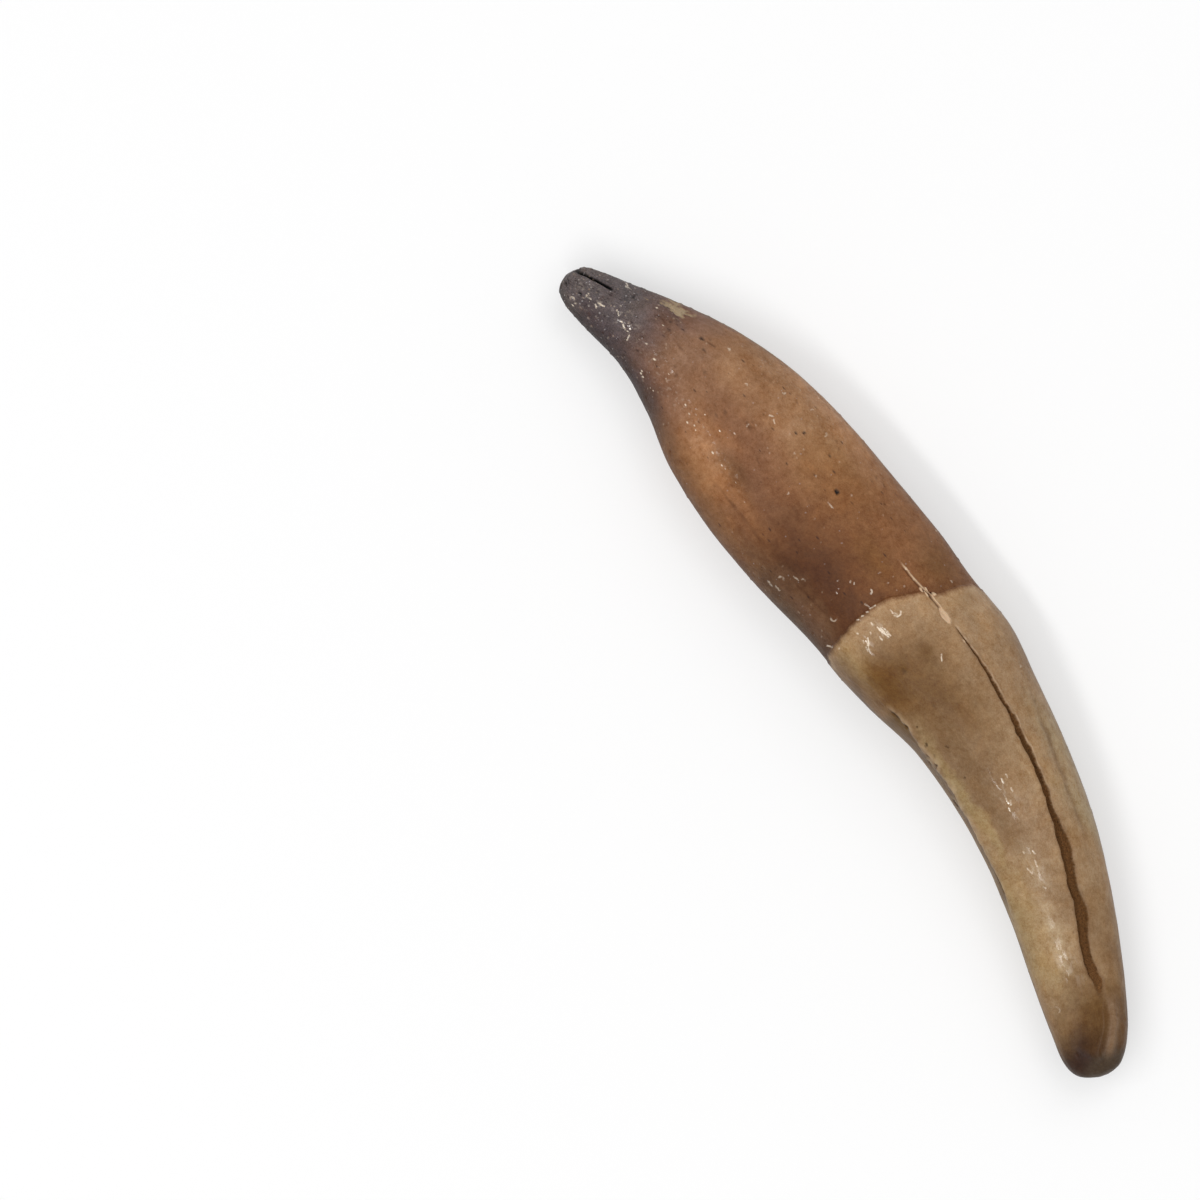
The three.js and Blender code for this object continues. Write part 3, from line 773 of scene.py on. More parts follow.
def dots(graph, skin, density, reach, seed):
    """1 at the middle of each of a number of scattered dots, and 0 at its rim."""
    scattered = graph.add("GeometryNodeDistributePointsOnFaces",
                          {"Mesh": skin, "Density": graph.times(density, 1e6), "Seed": seed})
    points = scattered.outputs["Points"]
    place = graph.add("GeometryNodeInputPosition").outputs[0]
    nearest = graph.add("GeometryNodeSampleNearest", {"Geometry": points, "Sample Position": place})
    own_size = graph.add("FunctionNodeRandomValue", data_type="FLOAT")
    sizes = {socket.identifier: socket for socket in own_size.inputs}
    graph.feed(sizes["Min_001"], 0.45)
    graph.feed(sizes["Max_001"], 1.0)
    graph.feed(sizes["Seed"], seed)
    size = next(socket for socket in own_size.outputs if socket.identifier == "Value_001")

    def at_nearest(kind, value):
        sample = graph.add("GeometryNodeSampleIndex", {"Geometry": points}, data_type=kind)
        graph.feed(sample.inputs["Value"], value)
        graph.feed(sample.inputs["Index"], nearest.outputs["Index"])
        return sample.outputs["Value"]

    away = graph.vector("DISTANCE", place, at_nearest("FLOAT_VECTOR", place))
    rim = graph.times(graph.times(reach, MM), at_nearest("FLOAT", size))
    return graph.ramp(graph.math("DIVIDE", away, rim), 1.0, 0.1)


def relief_tree():
    """The tree that adds the fine relief to a skin, and then gives it its finish."""
    inputs = {"Skin": "Geometry", **RELIEF, "Seed": 5, "Finish": "Material"}
    graph, given, result = new_group("fine_relief", "GeometryNodeTree", inputs, ("Skin", "Geometry"))

    def named(name, kind="FLOAT"):
        return graph.add("GeometryNodeInputNamedAttribute", {"Name": name}, data_type=kind).outputs[0]

    def freckled(place, size, height, detail):
        value = graph.noise(place, graph.math("DIVIDE", 1.0, size), detail)
        return graph.times(value, graph.times(height, 2.0))

    straight = named("straight", "FLOAT_VECTOR")
    on_crown = graph.ramp(named("past_collar"), -0.1, 0.3)
    on_root = graph.less(on_crown)
    root_end = graph.ramp(graph.add("ShaderNodeSeparateXYZ", {0: straight}).outputs["X"], 14.0, 2.0)
    lumps = freckled(straight, given["Lump Size"], given["Lump Height"], 3.0)
    drawn_out = graph.vector("MULTIPLY", straight, (0.3, 1, 1))
    ripples = freckled(drawn_out, given["Ripple Size"], given["Ripple Height"], 2.0)
    grit = freckled(straight, given["Grit Size"], given["Grit Height"], 3.0)
    grit = graph.times(grit, graph.math("ADD", root_end, 0.5))

    crowding = graph.math("MULTIPLY_ADD", root_end, 3.0, graph.ramp(on_root, 0.0, 1.0, 0.25, 1.0))
    grains = dots(graph, given["Skin"], graph.times(given["Grains"], crowding),
                  given["Grain Reach"], given["Seed"])
    pits = dots(graph, given["Skin"], graph.times(given["Pits"], crowding),
                given["Pit Reach"], graph.math("ADD", given["Seed"], 1.0))

    height = graph.math("MULTIPLY_ADD", on_crown, ripples, lumps)
    height = graph.math("MULTIPLY_ADD", on_root, grit, height)
    height = graph.math("MULTIPLY_ADD", grains, given["Grain Height"], height)
    height = graph.math("SUBTRACT", height, graph.times(pits, given["Pit Depth"]))
    calm = graph.less(named("crack_floor"))
    height = graph.times(height, graph.times(calm, named("clear_of_rest")))
    normal = graph.add("GeometryNodeInputNormal").outputs["Normal"]
    offset = graph.vector("SCALE", normal, graph.times(height, MM))
    skin = given["Skin"]
    for name, value in (("grain", grains), ("fine_pit", pits)):
        stored = graph.add("GeometryNodeStoreNamedAttribute",
                           {"Geometry": skin, "Name": name}, data_type="FLOAT", domain="POINT")
        graph.feed(stored.inputs["Value"], value)
        skin = stored.outputs["Geometry"]
    moved = graph.add("GeometryNodeSetPosition", {"Geometry": skin, "Offset": offset})
    solid = graph.add("GeometryNodeRealizeInstances", {"Geometry": moved.outputs["Geometry"]})
    finished = graph.add("GeometryNodeSetMaterial",
                         {"Geometry": solid.outputs["Geometry"], "Material": given["Finish"]})
    graph.feed(result["Skin"], finished.outputs["Geometry"])
    return graph.tree


def with_relief(skin, finish):
    """The skin as a plain mesh object, with the fine relief and the finish applied."""
    rough_skin = bpy.data.objects.new("rough_skin", skin)
    bpy.context.scene.collection.objects.link(rough_skin)
    modifier = rough_skin.modifiers.new("fine_relief", "NODES")
    tree = relief_tree()
    modifier.node_group = tree
    for socket in tree.interface.items_tree:
        if socket.name == "Finish":
            modifier[socket.identifier] = finish
        elif socket.name in RELIEF:
            modifier[socket.identifier] = RELIEF[socket.name]
    evaluated = rough_skin.evaluated_get(bpy.context.evaluated_depsgraph_get())
    mesh = bpy.data.meshes.new_from_object(evaluated)
    mesh.name = "tooth_skin"
    rough_skin.modifiers.remove(modifier)
    bpy.data.objects.remove(rough_skin)
    tooth_skin = bpy.data.objects.new("tooth_skin", mesh)
    bpy.context.scene.collection.objects.link(tooth_skin)
    return tooth_skin


# --- The finish
SURFACE = {
    "Coat Roughness": 0.1, "Coat IOR": 1.7, "IOR": 1.5, "Specular IOR Level": 0.2,
    "Subsurface Weight": 0.1, "Subsurface Radius": (1.0, 0.55, 0.3), "Subsurface Scale": 0.6 * MM,
}

# How a stain's colour is corrected for the sheen over it, and the darkest that it may be
SHEEN = 0.012
LESS_LIGHT = 0.97
DARKEST = 0.004

# Stains: colour, middle (x, y), reach (x, y), softness of the rim, strength
ROOT_STAINS = [
    (OCHRE, (15.2, 1.2), (7.8, 3.2), 0.8, 0.9),
    (PALE_TAN, (15.0, 8.9), (8.2, 2.6), 0.8, 0.85),
    (BUFF_BROWN, (12.6, 7.9), (3.2, 1.4), 0.9, 0.6),
    (PALE_TAN, (9.3, 4.8), (2.8, 2.0), 0.9, 0.9),
    (SANDY, (14.5, 10.1), (7.0, 1.1), 0.8, 0.6),
    (CLAY, (13.0, 4.0), (6.0, 1.4), 0.8, 0.75),
    (CLAY, (17.5, 3.2), (3.4, 1.2), 0.8, 0.6),
    (SANDY, (12.7, 1.8), (2.0, 0.6), 0.9, 0.4),
    (OCHRE, (13.5, 2.9), (1.2, 0.5), 0.9, 0.6),
    (OLIVE, (19.5, 7.4), (2.8, 1.6), 0.8, 0.5),
    (OCHRE, (19.6, 7.2), (2.0, 1.0), 0.9, 0.45),
    (CLAY, (16.2, 2.75), (2.4, 0.5), 0.9, 0.65),
    (COCOA, (16.0, 2.35), (1.4, 0.45), 0.9, 0.4),
    (BROWN, (11.5, 6.8), (2.4, 0.8), 0.9, 0.4),
    (CLAY, (18.9, 1.1), (2.4, 0.6), 0.8, 0.7),
    (RUST, (27.5, 5.5), (8.5, 6.5), 0.6, 0.85),
    (TOFFEE, (25.2, 6.4), (1.6, 1.0), 0.9, 0.4),
    (UMBER, (22.9, 1.7), (1.5, 1.0), 0.9, 0.9),
    (BROWN, (26.8, 10), (5, 2.4), 0.8, 0.6),
    (COCOA, (27.8, 9.7), (1.5, 1.2), 0.9, 0.5),
    (UMBER, (25.0, 2.9), (5.2, 1.9), 0.9, 0.85),
    (DRAB, (26, 0.6), (4.6, 1.3), 0.6, 0.8),
    (CLAY, (25.8, 1.0), (3.4, 0.5), 0.9, 0.5),
    (MAUVE, (5.4, 4.2), (3.2, 4.0), 0.6, 0.85),
    (MAUVE, (9.2, 1.3), (2.6, 1.3), 0.8, 0.6),
    (PALE_TAN, (7.4, 3.9), (1.2, 1.4), 0.9, 0.35),
    (ASH, (0.8, 1.2), (5.2, 4.4), 0.45, 0.95),
    (DARK_ASH, (5.7, 4.7), (0.8, 0.3), 0.9, 0.5),
    (DARK_ASH, (6.4, 0.0), (4.2, 1.3), 0.6, 0.85),
    (PALE_ASH, (0.2, 0.9), (1.6, 2.0), 0.7, 0.6),
    (DARK_ASH, (2.5, 0.6), (1.8, 0.55), 0.9, 0.85),
    (PALE_ASH, (3.2, 3.1), (1.2, 0.6), 0.9, 0.5),
]
CROWN_STAINS = [
    (SAND, (35.5, 9.8), (5.6, 1.6), 0.8, 0.75),
    (SAND, (32.0, 6.6), (4.0, 2.2), 0.8, 0.7),
    (BUFF, (33.0, 7.2), (1.6, 0.8), 0.9, 0.35),
    (BUFF, (28.9, 4.9), (1.9, 3.8), 0.8, 0.85),
    (BUFF, (31.6, 10.75), (1.9, 0.6), 0.8, 0.8),
    (DUN, (35.0, 11.0), (2.0, 0.5), 0.8, 0.5),
    (HONEY, (30.0, 2.1), (1.9, 0.9), 0.7, 0.8),
    (BUFF, (29.3, 2.5), (0.8, 0.5), 0.9, 0.6),
    # Partly painted sheen: a pale patch where a highlight falls at the crown's base
    (BONE_AND_SHEEN, (29.2, 3.1), (0.5, 0.35), 0.9, 0.6),
    (HAZEL, (32.3, 1.1), (3.2, 0.65), 0.8, 0.85),
    (COCOA, (32.7, 0.95), (2.3, 0.42), 0.8, 0.7),
    (HAZEL, (34.8, 4.8), (5.2, 2.6), 0.8, 0.95),
    (TOFFEE, (32.0, 3.1), (2.1, 1.3), 0.75, 0.85),
    (TOFFEE, (31.7, 5.9), (0.8, 0.4), 0.9, 0.65),
    (TOFFEE, (34.4, 4.8), (2.8, 0.9), 0.9, 0.55),
    (TOFFEE, (32.1, 4.2), (0.28, 0.24), 0.9, 0.8),
    (TOFFEE, (37.6, 3.7), (0.6, 0.25), 0.8, 0.5),
    (DUN, (40.7, 4.0), (5.5, 1.2), 0.8, 0.9),
    (DUN, (53.0, 5.0), (5.0, 1.3), 0.8, 0.7),
    (STRAW, (41.4, 2.85), (4.6, 0.42), 0.7, 0.75),
    (STRAW, (50, 1.4), (5.2, 1.4), 0.8, 0.7),
    (BUFF, (50.9, 1.9), (1.6, 0.7), 0.9, 0.35),
    # Partly painted sheen: pale patches along the crown where the highlight band runs
    (BONE_AND_SHEEN, (46.9, 3.9), (1.4, 0.6), 0.9, 0.4),
    (BONE_AND_SHEEN, (50.8, 2.8), (2.8, 0.7), 0.9, 0.15),
    (BONE_AND_SHEEN, (49.5, 3.35), (0.5, 0.25), 0.7, 0.5),
    (BONE_AND_SHEEN, (50.1, 2.8), (0.7, 0.3), 0.7, 0.35),
    (BONE_AND_SHEEN, (51.9, 2.8), (0.6, 0.22), 0.7, 0.5),
    (BONE_AND_SHEEN, (53.0, 2.3), (0.8, 0.3), 0.7, 0.9),
    (BONE_AND_SHEEN, (55.15, 0.15), (0.4, 0.3), 0.7, 0.4),
    (PALE_OLIVE, (41.8, 9.8), (3.4, 0.6), 0.8, 0.7),
    (PALE_OLIVE, (46.0, 8.7), (2.8, 0.7), 0.8, 0.8),
    (DUN, (47.4, 7.1), (3.0, 0.8), 0.8, 0.35),
    (DUN, (52.2, 6.5), (2.4, 0.8), 0.8, 0.45),
    (SAND, (44.2, 5.8), (2.6, 0.8), 0.8, 0.75),
    (DUN, (55.4, 5.1), (2.2, 0.7), 0.8, 0.8),
    (HAZEL, (57.6, 3.4), (1.6, 0.9), 0.8, 0.9),
    (HAZEL, (54.9, 2.5), (1.6, 0.9), 0.9, 0.75),
    (DUN, (54.6, 0.4), (0.9, 0.5), 0.9, 0.4),
    (COCOA, (58.1, 1.4), (2.9, 3.0), 0.6, 0.9),
    (SOOT, (58.8, 0.0), (1.5, 1.8), 0.75, 0.88),
    (SLATE, (60.2, 0.5), (0.9, 2.4), 0.5, 0.9),
]

# How much the clouds, blotches, mottles, freckles and dust lighten and darken the stains
CLOUDS, BLOTCHES, MOTTLES, FRECKLES, DUST = 0.33, 0.85, 0.68, 0.75, 0.75
MORE_ROOT_BLOTCHES = 0.2
MORE_ROOT_DUST = 1.2
SHADE_RANGE = (0.4, 1.7)
BROWNER = (-0.28, 0.0, 0.4)  # added to the shade where that is dark, and taken off where it is light
# Painted shade: how much darker the lower rim and the sides are made
LOWER_RIM_SHADE = -0.45
SIDE_SHADE = -0.35
WARMER = (1.04, 0.99, 0.9)

# Bump, in millimetres
FINE_BUMP = 0.07
RIPPLE_BUMP = 0.05
ROOT_END_BUMP = 0.09
OPEN_BUMP = 0.25

# The worn places of the tip, and the shelf under the keel darkened as painted shade: mask, colour, strength
WORN_AND_SHADED = [("ridge", FAWN, 0.85), ("hollow", COCOA, 0.5), ("shaded_shelf", SHELF_SHADE_BROWN, 0.9)]

# Where the surface is glazed, with painted sheen on its strokes, and where shiny specks painted as glints
# crowd: middle (x, y), reach (x, y), strength
GLAZES = [
    ((1.9, 1.2), (1.5, 0.7), 0.6), ((4.1, 2.1), (1.5, 0.6), 0.6), ((8.6, 2.1), (3.2, 0.7), 0.45),
    ((14.0, 1.9), (3.4, 0.6), 0.15), ((29.3, 4.45), (0.6, 0.3), 0.8), ((29.4, 3.2), (0.6, 0.3), 0.7),
    ((42.2, 5.1), (1.5, 0.6), 0.3), ((46.8, 4.1), (1.6, 0.7), 0.2), ((50.3, 2.9), (1.6, 0.6), 0.12),
    ((53.0, 2.3), (1.4, 0.6), 0.35),
]
GLITTER = [
    ((1.9, 1.15), (1.0, 0.25), 0.7), ((2.4, 1.4), (0.4, 0.16), 0.9), ((3.9, 1.95), (1.0, 0.2), 0.8),
    ((5.1, 1.65), (0.25, 0.4), 0.7), ((1.1, 0.1), (0.6, 0.25), 0.5), ((2.4, 3.45), (0.35, 0.2), 0.5),
    ((3.1, 2.4), (0.25, 0.25), 0.8), ((5.0, 4.3), (0.9, 0.5), 0.25), ((6.6, 2.3), (0.7, 0.4), 0.4),
    ((9.4, 2.1), (1.5, 0.3), 0.7), ((11.9, 1.8), (0.5, 0.25), 0.5), ((15.4, 1.9), (1.6, 0.22), 0.75),
    ((8.7, 1.0), (0.4, 0.2), 0.5), ((7.2, 1.1), (0.4, 0.3), 0.4), ((13.0, 3.6), (1.6, 0.8), 0.06),
]


def under_gloss(colour):
    """The linear base colour that looks like an 8-bit display colour through the surface's sheen."""
    shares = [value / 255 for value in colour]
    linear = [s / 12.92 if s <= 0.04045 else ((s + 0.055) / 1.055) ** 2.4 for s in shares]
    return tuple(max(DARKEST, value * LESS_LIGHT - SHEEN) for value in linear) + (1,)


def shader_group(draw, output=("Mask", "Float"), **inputs):
    """The shader node group that a function draws from its inputs."""
    graph, given, result = new_group(draw.__name__, "ShaderNodeTree", inputs, output)
    graph.feed(result[output[0]], draw(graph, given))
    return graph.tree


def stain(graph, given):
    """A soft oval stain in plan."""
    off = graph.vector("DIVIDE", graph.vector("SUBTRACT", given["Place"], given["Middle"]), given["Reach"])
    inner = graph.less(given["Softness"])
    outer = graph.math("ADD", 1.0, given["Softness"])
    mask = graph.ramp(graph.vector("LENGTH", off), outer, inner)
    return graph.times(mask, given["Strength"])


def ragged(graph, given):
    """Shifts a place about, so that what is drawn on it has an uneven rim."""
    inputs = {"Vector": given["Place"], "Scale": graph.math("DIVIDE", 1.0, given["Size"]), "Detail": 3.0}
    colour = graph.add("ShaderNodeTexNoise", inputs).outputs["Color"]
    swing = graph.vector("SUBTRACT", colour, (0.5, 0.5, 0.5))
    swing = graph.vector("SCALE", swing, graph.times(given["Amount"], 2.0))
    return graph.vector("ADD", given["Place"], swing)


def specks(graph, given):
    """Small round specks: one in each of a share of the cells of an uneven grid."""
    inputs = {"Vector": given["Place"], "Scale": graph.math("DIVIDE", 1.0, given["Spacing"])}
    cells = graph.add("ShaderNodeTexVoronoi", inputs)
    own = graph.add("ShaderNodeSeparateColor", {0: cells.outputs["Color"]}).outputs
    chosen = graph.math("LESS_THAN", own[0], given["Share"])
    reach = graph.times(given["Reach"], graph.math("MULTIPLY_ADD", own[1], 0.6, 0.4))
    rim = graph.math("DIVIDE", reach, given["Spacing"])
    mask = graph.ramp(graph.math("DIVIDE", cells.outputs["Distance"], rim), 1.0, 0.2)
    return graph.times(mask, chosen)


def streak(graph, given):
    """A short round-ended line in plan, drawn as a painted highlight."""
    place = graph.vector("SUBTRACT", given["Place"], given["From"])
    line = graph.vector("SUBTRACT", given["To"], given["From"])
    walked = graph.math("DIVIDE", graph.vector("DOT_PRODUCT", place, line),
                        graph.vector("DOT_PRODUCT", line, line))
    walked = graph.add("ShaderNodeClamp", {"Value": walked}).outputs[0]
    off = graph.vector("DISTANCE", place, graph.vector("SCALE", line, walked))
    mask = graph.ramp(graph.math("DIVIDE", off, given["Half"]), 1.0, 0.2)
    return graph.times(mask, given["Brightness"])


def arc(graph, given):
    """A ring in plan drawn as a painted highlight, as bright as its facing is long, that fades away on the
    side it turns from.
    """
    off = graph.vector("SUBTRACT", given["Place"], given["Middle"])
    away = graph.math("SUBTRACT", graph.vector("LENGTH", off), given["Radius"])
    ring = graph.ramp(graph.math("DIVIDE", graph.math("ABSOLUTE", away), given["Half"]), 1.0, 0.2)
    turned = graph.vector("DOT_PRODUCT", graph.vector("NORMALIZE", off), given["Facing"])
    bright = graph.vector("LENGTH", given["Facing"])
    lit = graph.ramp(graph.math("DIVIDE", turned, bright), -0.2, 0.5)
    return graph.times(ring, graph.times(lit, bright))


class Finish(Graph):
    """A graph for the tooth's material, with its places in millimetres and its drawn shapes."""

    def __init__(self, tree, shift):
        super().__init__(tree)
        self.groups = {
            stain: shader_group(
                stain, Place="Vector", Middle="Vector", Reach="Vector", Softness=0.5, Strength=1.0),
            ragged: shader_group(
                ragged, ("Ragged Place", "Vector"), Place="Vector", Size=1.0, Amount=1.0),
            specks: shader_group(specks, Place="Vector", Spacing=1.0, Reach=0.1, Share=0.5),
            streak: shader_group(
                streak, Place="Vector", From="Vector", To="Vector", Half=0.08, Brightness=1.0),
            arc: shader_group(
                arc, Place="Vector", Middle="Vector", Radius=0.2, Half=0.08, Facing="Vector"),
        }
        at = self.add("ShaderNodeTexCoord").outputs["Object"]
        whole = self.add("ShaderNodeMapping", {"Vector": at, "Scale": (1 / MM, 1 / MM, 1 / MM)})
        whole.inputs["Location"].default_value = tuple(-shift)
        self.whole = whole.outputs["Vector"]
        self.straight = self.attribute("straight", "Vector")
        self.short = self.vector("MULTIPLY", self.straight, (0.4, 1, 1))
        parts = self.add("ShaderNodeSeparateXYZ", {0: self.straight}).outputs
        self.root_end = self.ramp(parts["X"], 8.5, 4.0)
        self.on_top = self.ramp(parts["Z"], 0.0, 0.3)
        edge = self.noise(self.straight, 3.0, 3.0, 0.6)
        self.past_collar = self.math("MULTIPLY_ADD", edge, 0.3, self.attribute("past_collar"))
        self.on_crown = self.ramp(self.past_collar, -0.06, 0.42)
        self.off_crown = self.less(self.on_crown)

    def attribute(self, name, output="Fac"):
        return self.add("ShaderNodeAttribute", attribute_name=name).outputs[output]

    def add_up(self, start, *parts):
        """The start plus each value times its share."""
        for value, share in parts:
            start = self.math("MULTIPLY_ADD", value, share, start)
        return start

    def clamp(self, value, low=0.0, high=1.0):
        return self.add("ShaderNodeClamp", {"Value": value, "Min": low, "Max": high}).outputs[0]

    def drawn(self, shape, **inputs):
        node = self.add("ShaderNodeGroup", node_tree=self.groups[shape])
        for name, value in inputs.items():
            self.feed(node.inputs[name], value)
        return node.outputs[0]

    def oval(self, place, middle, reach, softness, strength):
        return self.drawn(stain, Place=place, Middle=middle + (0,), Reach=reach + (100,),
                          Softness=softness, Strength=strength)

    def ovals(self, place, shapes, softness):
        """The strongest of a number of soft ovals."""
        whole = 0.0
        for middle, reach, strength in shapes:
            whole = self.largest(whole, self.oval(place, middle, reach, softness, strength))
        return whole

    def stained(self, colour, place, stains):
        for tint, *shape in stains:
            colour = self.mix(self.oval(place, *shape), colour, under_gloss(tint))
        return colour

    def tinted(self, colour, mask, strength, tint):
        mask = self.clamp(self.times(mask, strength))
        return self.mix(mask, colour, under_gloss(tint))

    def shifted(self, place, size, amount):
        return self.drawn(ragged, Place=place, Size=size, Amount=amount)

    def within(self, name, place, size, swing, low, high):
        """Where a stored distance passes its edge, with the edge made uneven."""
        uneven = self.noise(place, 1 / size, 3.0, 0.6)
        return self.ramp(self.math("MULTIPLY_ADD", uneven, swing, self.attribute(name)), low, high)


def body_colour(finish):
    """The stains, and over them the clouds, blotches, mottles and freckles, and the painted shade along the
    rims.
    """
    uneven = finish.shifted(finish.shifted(finish.whole, 3.2, 0.9), 0.9, 0.35)
    plan = finish.vector("MULTIPLY", uneven, (1, 1, 0))
    root = finish.stained(under_gloss(TAN), plan, ROOT_STAINS)
    crown = finish.stained(under_gloss(ENAMEL), plan, CROWN_STAINS)
    colour = finish.mix(finish.on_crown, root, crown)
    behind = finish.times(finish.off_crown, finish.ramp(finish.past_collar, -1.0, -0.1))
    colour = finish.tinted(colour, behind, 0.3, UMBER)
    rim = finish.times(finish.on_crown, finish.ramp(finish.past_collar, 0.9, 0.3))
    colour = finish.tinted(colour, rim, 0.35, BUFF)
    for name, tint, strength in WORN_AND_SHADED:
        colour = finish.tinted(colour, finish.attribute(name), strength, tint)

    straight, off_crown = finish.straight, finish.off_crown
    clouds = finish.noise(straight, 0.42, 3.0)
    blotches = finish.noise(finish.shifted(straight, 1.2, 0.4), 1.25, 4.0, 0.6)
    mottles = finish.noise(finish.shifted(straight, 0.6, 0.2), 2.6, 3.0, 0.6)
    freckles = finish.noise(straight, 5.5, 3.0, 0.75)
    dust = finish.noise(straight, 12.0, 2.0, 0.7)
    shade = finish.clamp(finish.add_up(
        1.0, (clouds, CLOUDS), (blotches, finish.add_up(BLOTCHES, (off_crown, MORE_ROOT_BLOTCHES))),
        (mottles, MOTTLES), (freckles, FRECKLES),
        (dust, finish.add_up(DUST, (finish.root_end, MORE_ROOT_DUST)))), *SHADE_RANGE)
    # The darker it is, the deeper its brown, but at the root's end it stays grey
    browner = finish.times(finish.add_up(-1.0, (shade, 1.0)), finish.less(finish.root_end))
    tone = finish.vector("ADD", finish.vector("SCALE", BROWNER, browner), shade)
    colour = finish.vector("MULTIPLY", colour, tone)
    # Painted shade: darker along the lower rim, less so on the crown, and down the sides
    on_root_rim = finish.add_up(1.0, (finish.on_crown, -0.7))
    painted_lower_shade = finish.times(finish.attribute("painted_lower_shade"), on_root_rim)
    painted_rim_shade = finish.add_up(1.0, (painted_lower_shade, LOWER_RIM_SHADE))
    painted_rim_shade = finish.times(painted_rim_shade, finish.add_up(1.0, (finish.attribute("side"), SIDE_SHADE)))
    colour = finish.vector("SCALE", colour, painted_rim_shade)
    warmth = finish.noise(finish.shifted(straight, 2.0, 0.8), 0.7, 3.0)
    warmer = finish.vector("MULTIPLY", colour, WARMER)
    return finish.mix(finish.ramp(warmth, -0.12, 0.22), colour, warmer)


def marked_colour(finish, colour):
    """The colour with its worn, chipped, cracked and pitted places, the painted shadow under the hairline's
    thread, and a darker band along the crack's edges.
    """
    marks = [
        ("faint_line", UMBER, 0.85), ("seam_lip", BONE_AND_SHEEN, 0.65), ("shadow", UMBER, 0.7),
        ("fine_pit", UMBER, 0.4), ("pit", INK, 1.0), ("flake", LICHEN, 0.95),
        ("lip", PALE_CHIP, 0.8), ("chip", PALE_CHIP, 0.95), ("slit", INK, 1.0),
    ]
    for name, tint, strength in marks:
        colour = finish.tinted(colour, finish.attribute(name), strength, tint)
    seam = finish.within("near_seam", finish.short, 0.16, 0.8, 0.52, 0.82)
    colour = finish.tinted(colour, seam, 0.85, SEAM_BROWN)
    # Darker in a band along the crack's edges
    crack_edge_dark = finish.within("in_crack", finish.straight, 0.4, 0.3, -0.24, 0.0)
    colour = finish.tinted(colour, crack_edge_dark, 0.3, UMBER)
    open_crack = finish.within("in_crack", finish.straight, 0.16, 0.17, -0.03, 0.04)
    crumbs = finish.noise(finish.straight, 7.0, 3.0, 0.7)
    crust = finish.vector("SCALE", under_gloss(CRUST)[:3], finish.add_up(1.0, (crumbs, 1.7)))
    return finish.mix(open_crack, colour, crust)


def shiny_marks(finish):
    """Masks of the raised rings and streaks with their painted highlights, of the glaze strokes with their
    painted sheen, and of the shiny specks painted as glints.
    """
    plan = finish.vector("MULTIPLY", finish.shifted(finish.whole, 0.2, 0.07), (1, 1, 0))
    # The raised rings and streaks, with the highlights painted on them
    raised = 0.0
    for x, y, radius, facing, brightness in BLISTERS:
        side = tuple(brightness * turn(math.radians(facing)) for turn in (math.cos, math.sin)) + (0,)
        ring = finish.drawn(arc, Place=plan, Middle=(x, y, 0), Radius=radius, Half=RING_HALF, Facing=side)
        raised = finish.largest(raised, ring)
    for from_x, from_y, to_x, to_y, brightness in GLINT_STREAKS:
        raised = finish.largest(raised, finish.drawn(
            streak, Place=plan, From=(from_x, from_y, 0), To=(to_x, to_y, 0),
            Half=STREAK_HALF, Brightness=brightness))
    broken = finish.ramp(finish.noise(finish.straight, 6.0, 2.0), -0.14, 0.04, 0.3, 1.0)
    raised = finish.times(raised, broken, finish.on_top)

    glaze_and_sheen = finish.ovals(finish.whole, GLAZES, 0.6)
    strokes = finish.ramp(finish.noise(finish.short, 3.4, 2.0), 0.0, 0.1)
    spots = finish.ramp(finish.noise(finish.straight, 4.0, 2.0), 0.06, 0.16)
    strokes = finish.math("MULTIPLY_ADD", finish.on_crown, finish.math("SUBTRACT", strokes, spots), spots)
    glaze_and_sheen = finish.times(glaze_and_sheen, strokes)

    # Shiny specks, painted as glints, crowded into the glitter ovals
    crowded = finish.ovals(finish.whole, GLITTER, 0.5)
    uneven = finish.shifted(finish.vector("MULTIPLY", finish.straight, (0.6, 1, 1)), 0.15, 0.04)
    glitter = finish.drawn(specks, Place=uneven, Spacing=0.21, Reach=0.1, Share=crowded)
    glitter = finish.times(glitter, finish.on_top)
    return raised, glaze_and_sheen, glitter


def speckled(finish, colour):
    """Small pale pimples, lightened partly as painted highlights, and dark pinpricks, which crowd into a
    grit near the root's end.
    """
    share = finish.add_up(0.03, (finish.off_crown, 0.22))
    pimples = finish.drawn(specks, Place=finish.straight, Spacing=0.85, Reach=0.12, Share=share)
    pinpricks = finish.drawn(specks, Place=finish.straight, Spacing=0.95, Reach=0.12, Share=share)
    share = finish.add_up(0.0, (finish.root_end, 0.4), (finish.off_crown, 0.06))
    uneven = finish.shifted(finish.straight, 0.2, 0.04)
    salt = finish.drawn(specks, Place=uneven, Spacing=0.24, Reach=0.09, Share=share)
    pepper = finish.drawn(specks, Place=finish.short, Spacing=0.22, Reach=0.11, Share=share)
    # The pimples are lightened, partly as painted highlights on them
    colour = finish.vector("SCALE", colour, finish.add_up(1.0, (pimples, 0.4)))
    colour = finish.tinted(colour, pinpricks, 0.5, UMBER)
    colour = finish.tinted(colour, pepper, 0.65, SOOT)
    colour = finish.tinted(colour, salt, finish.add_up(0.25, (finish.root_end, 0.35)), FROST)
    # The grains are tinted paler, partly as painted highlights on them
    grains = finish.times(finish.ramp(finish.attribute("grain"), 0.3, 0.9), finish.off_crown)
    colour = finish.tinted(colour, grains, 0.22, PALE_CHIP)
    return colour, finish.largest(pimples, grains)


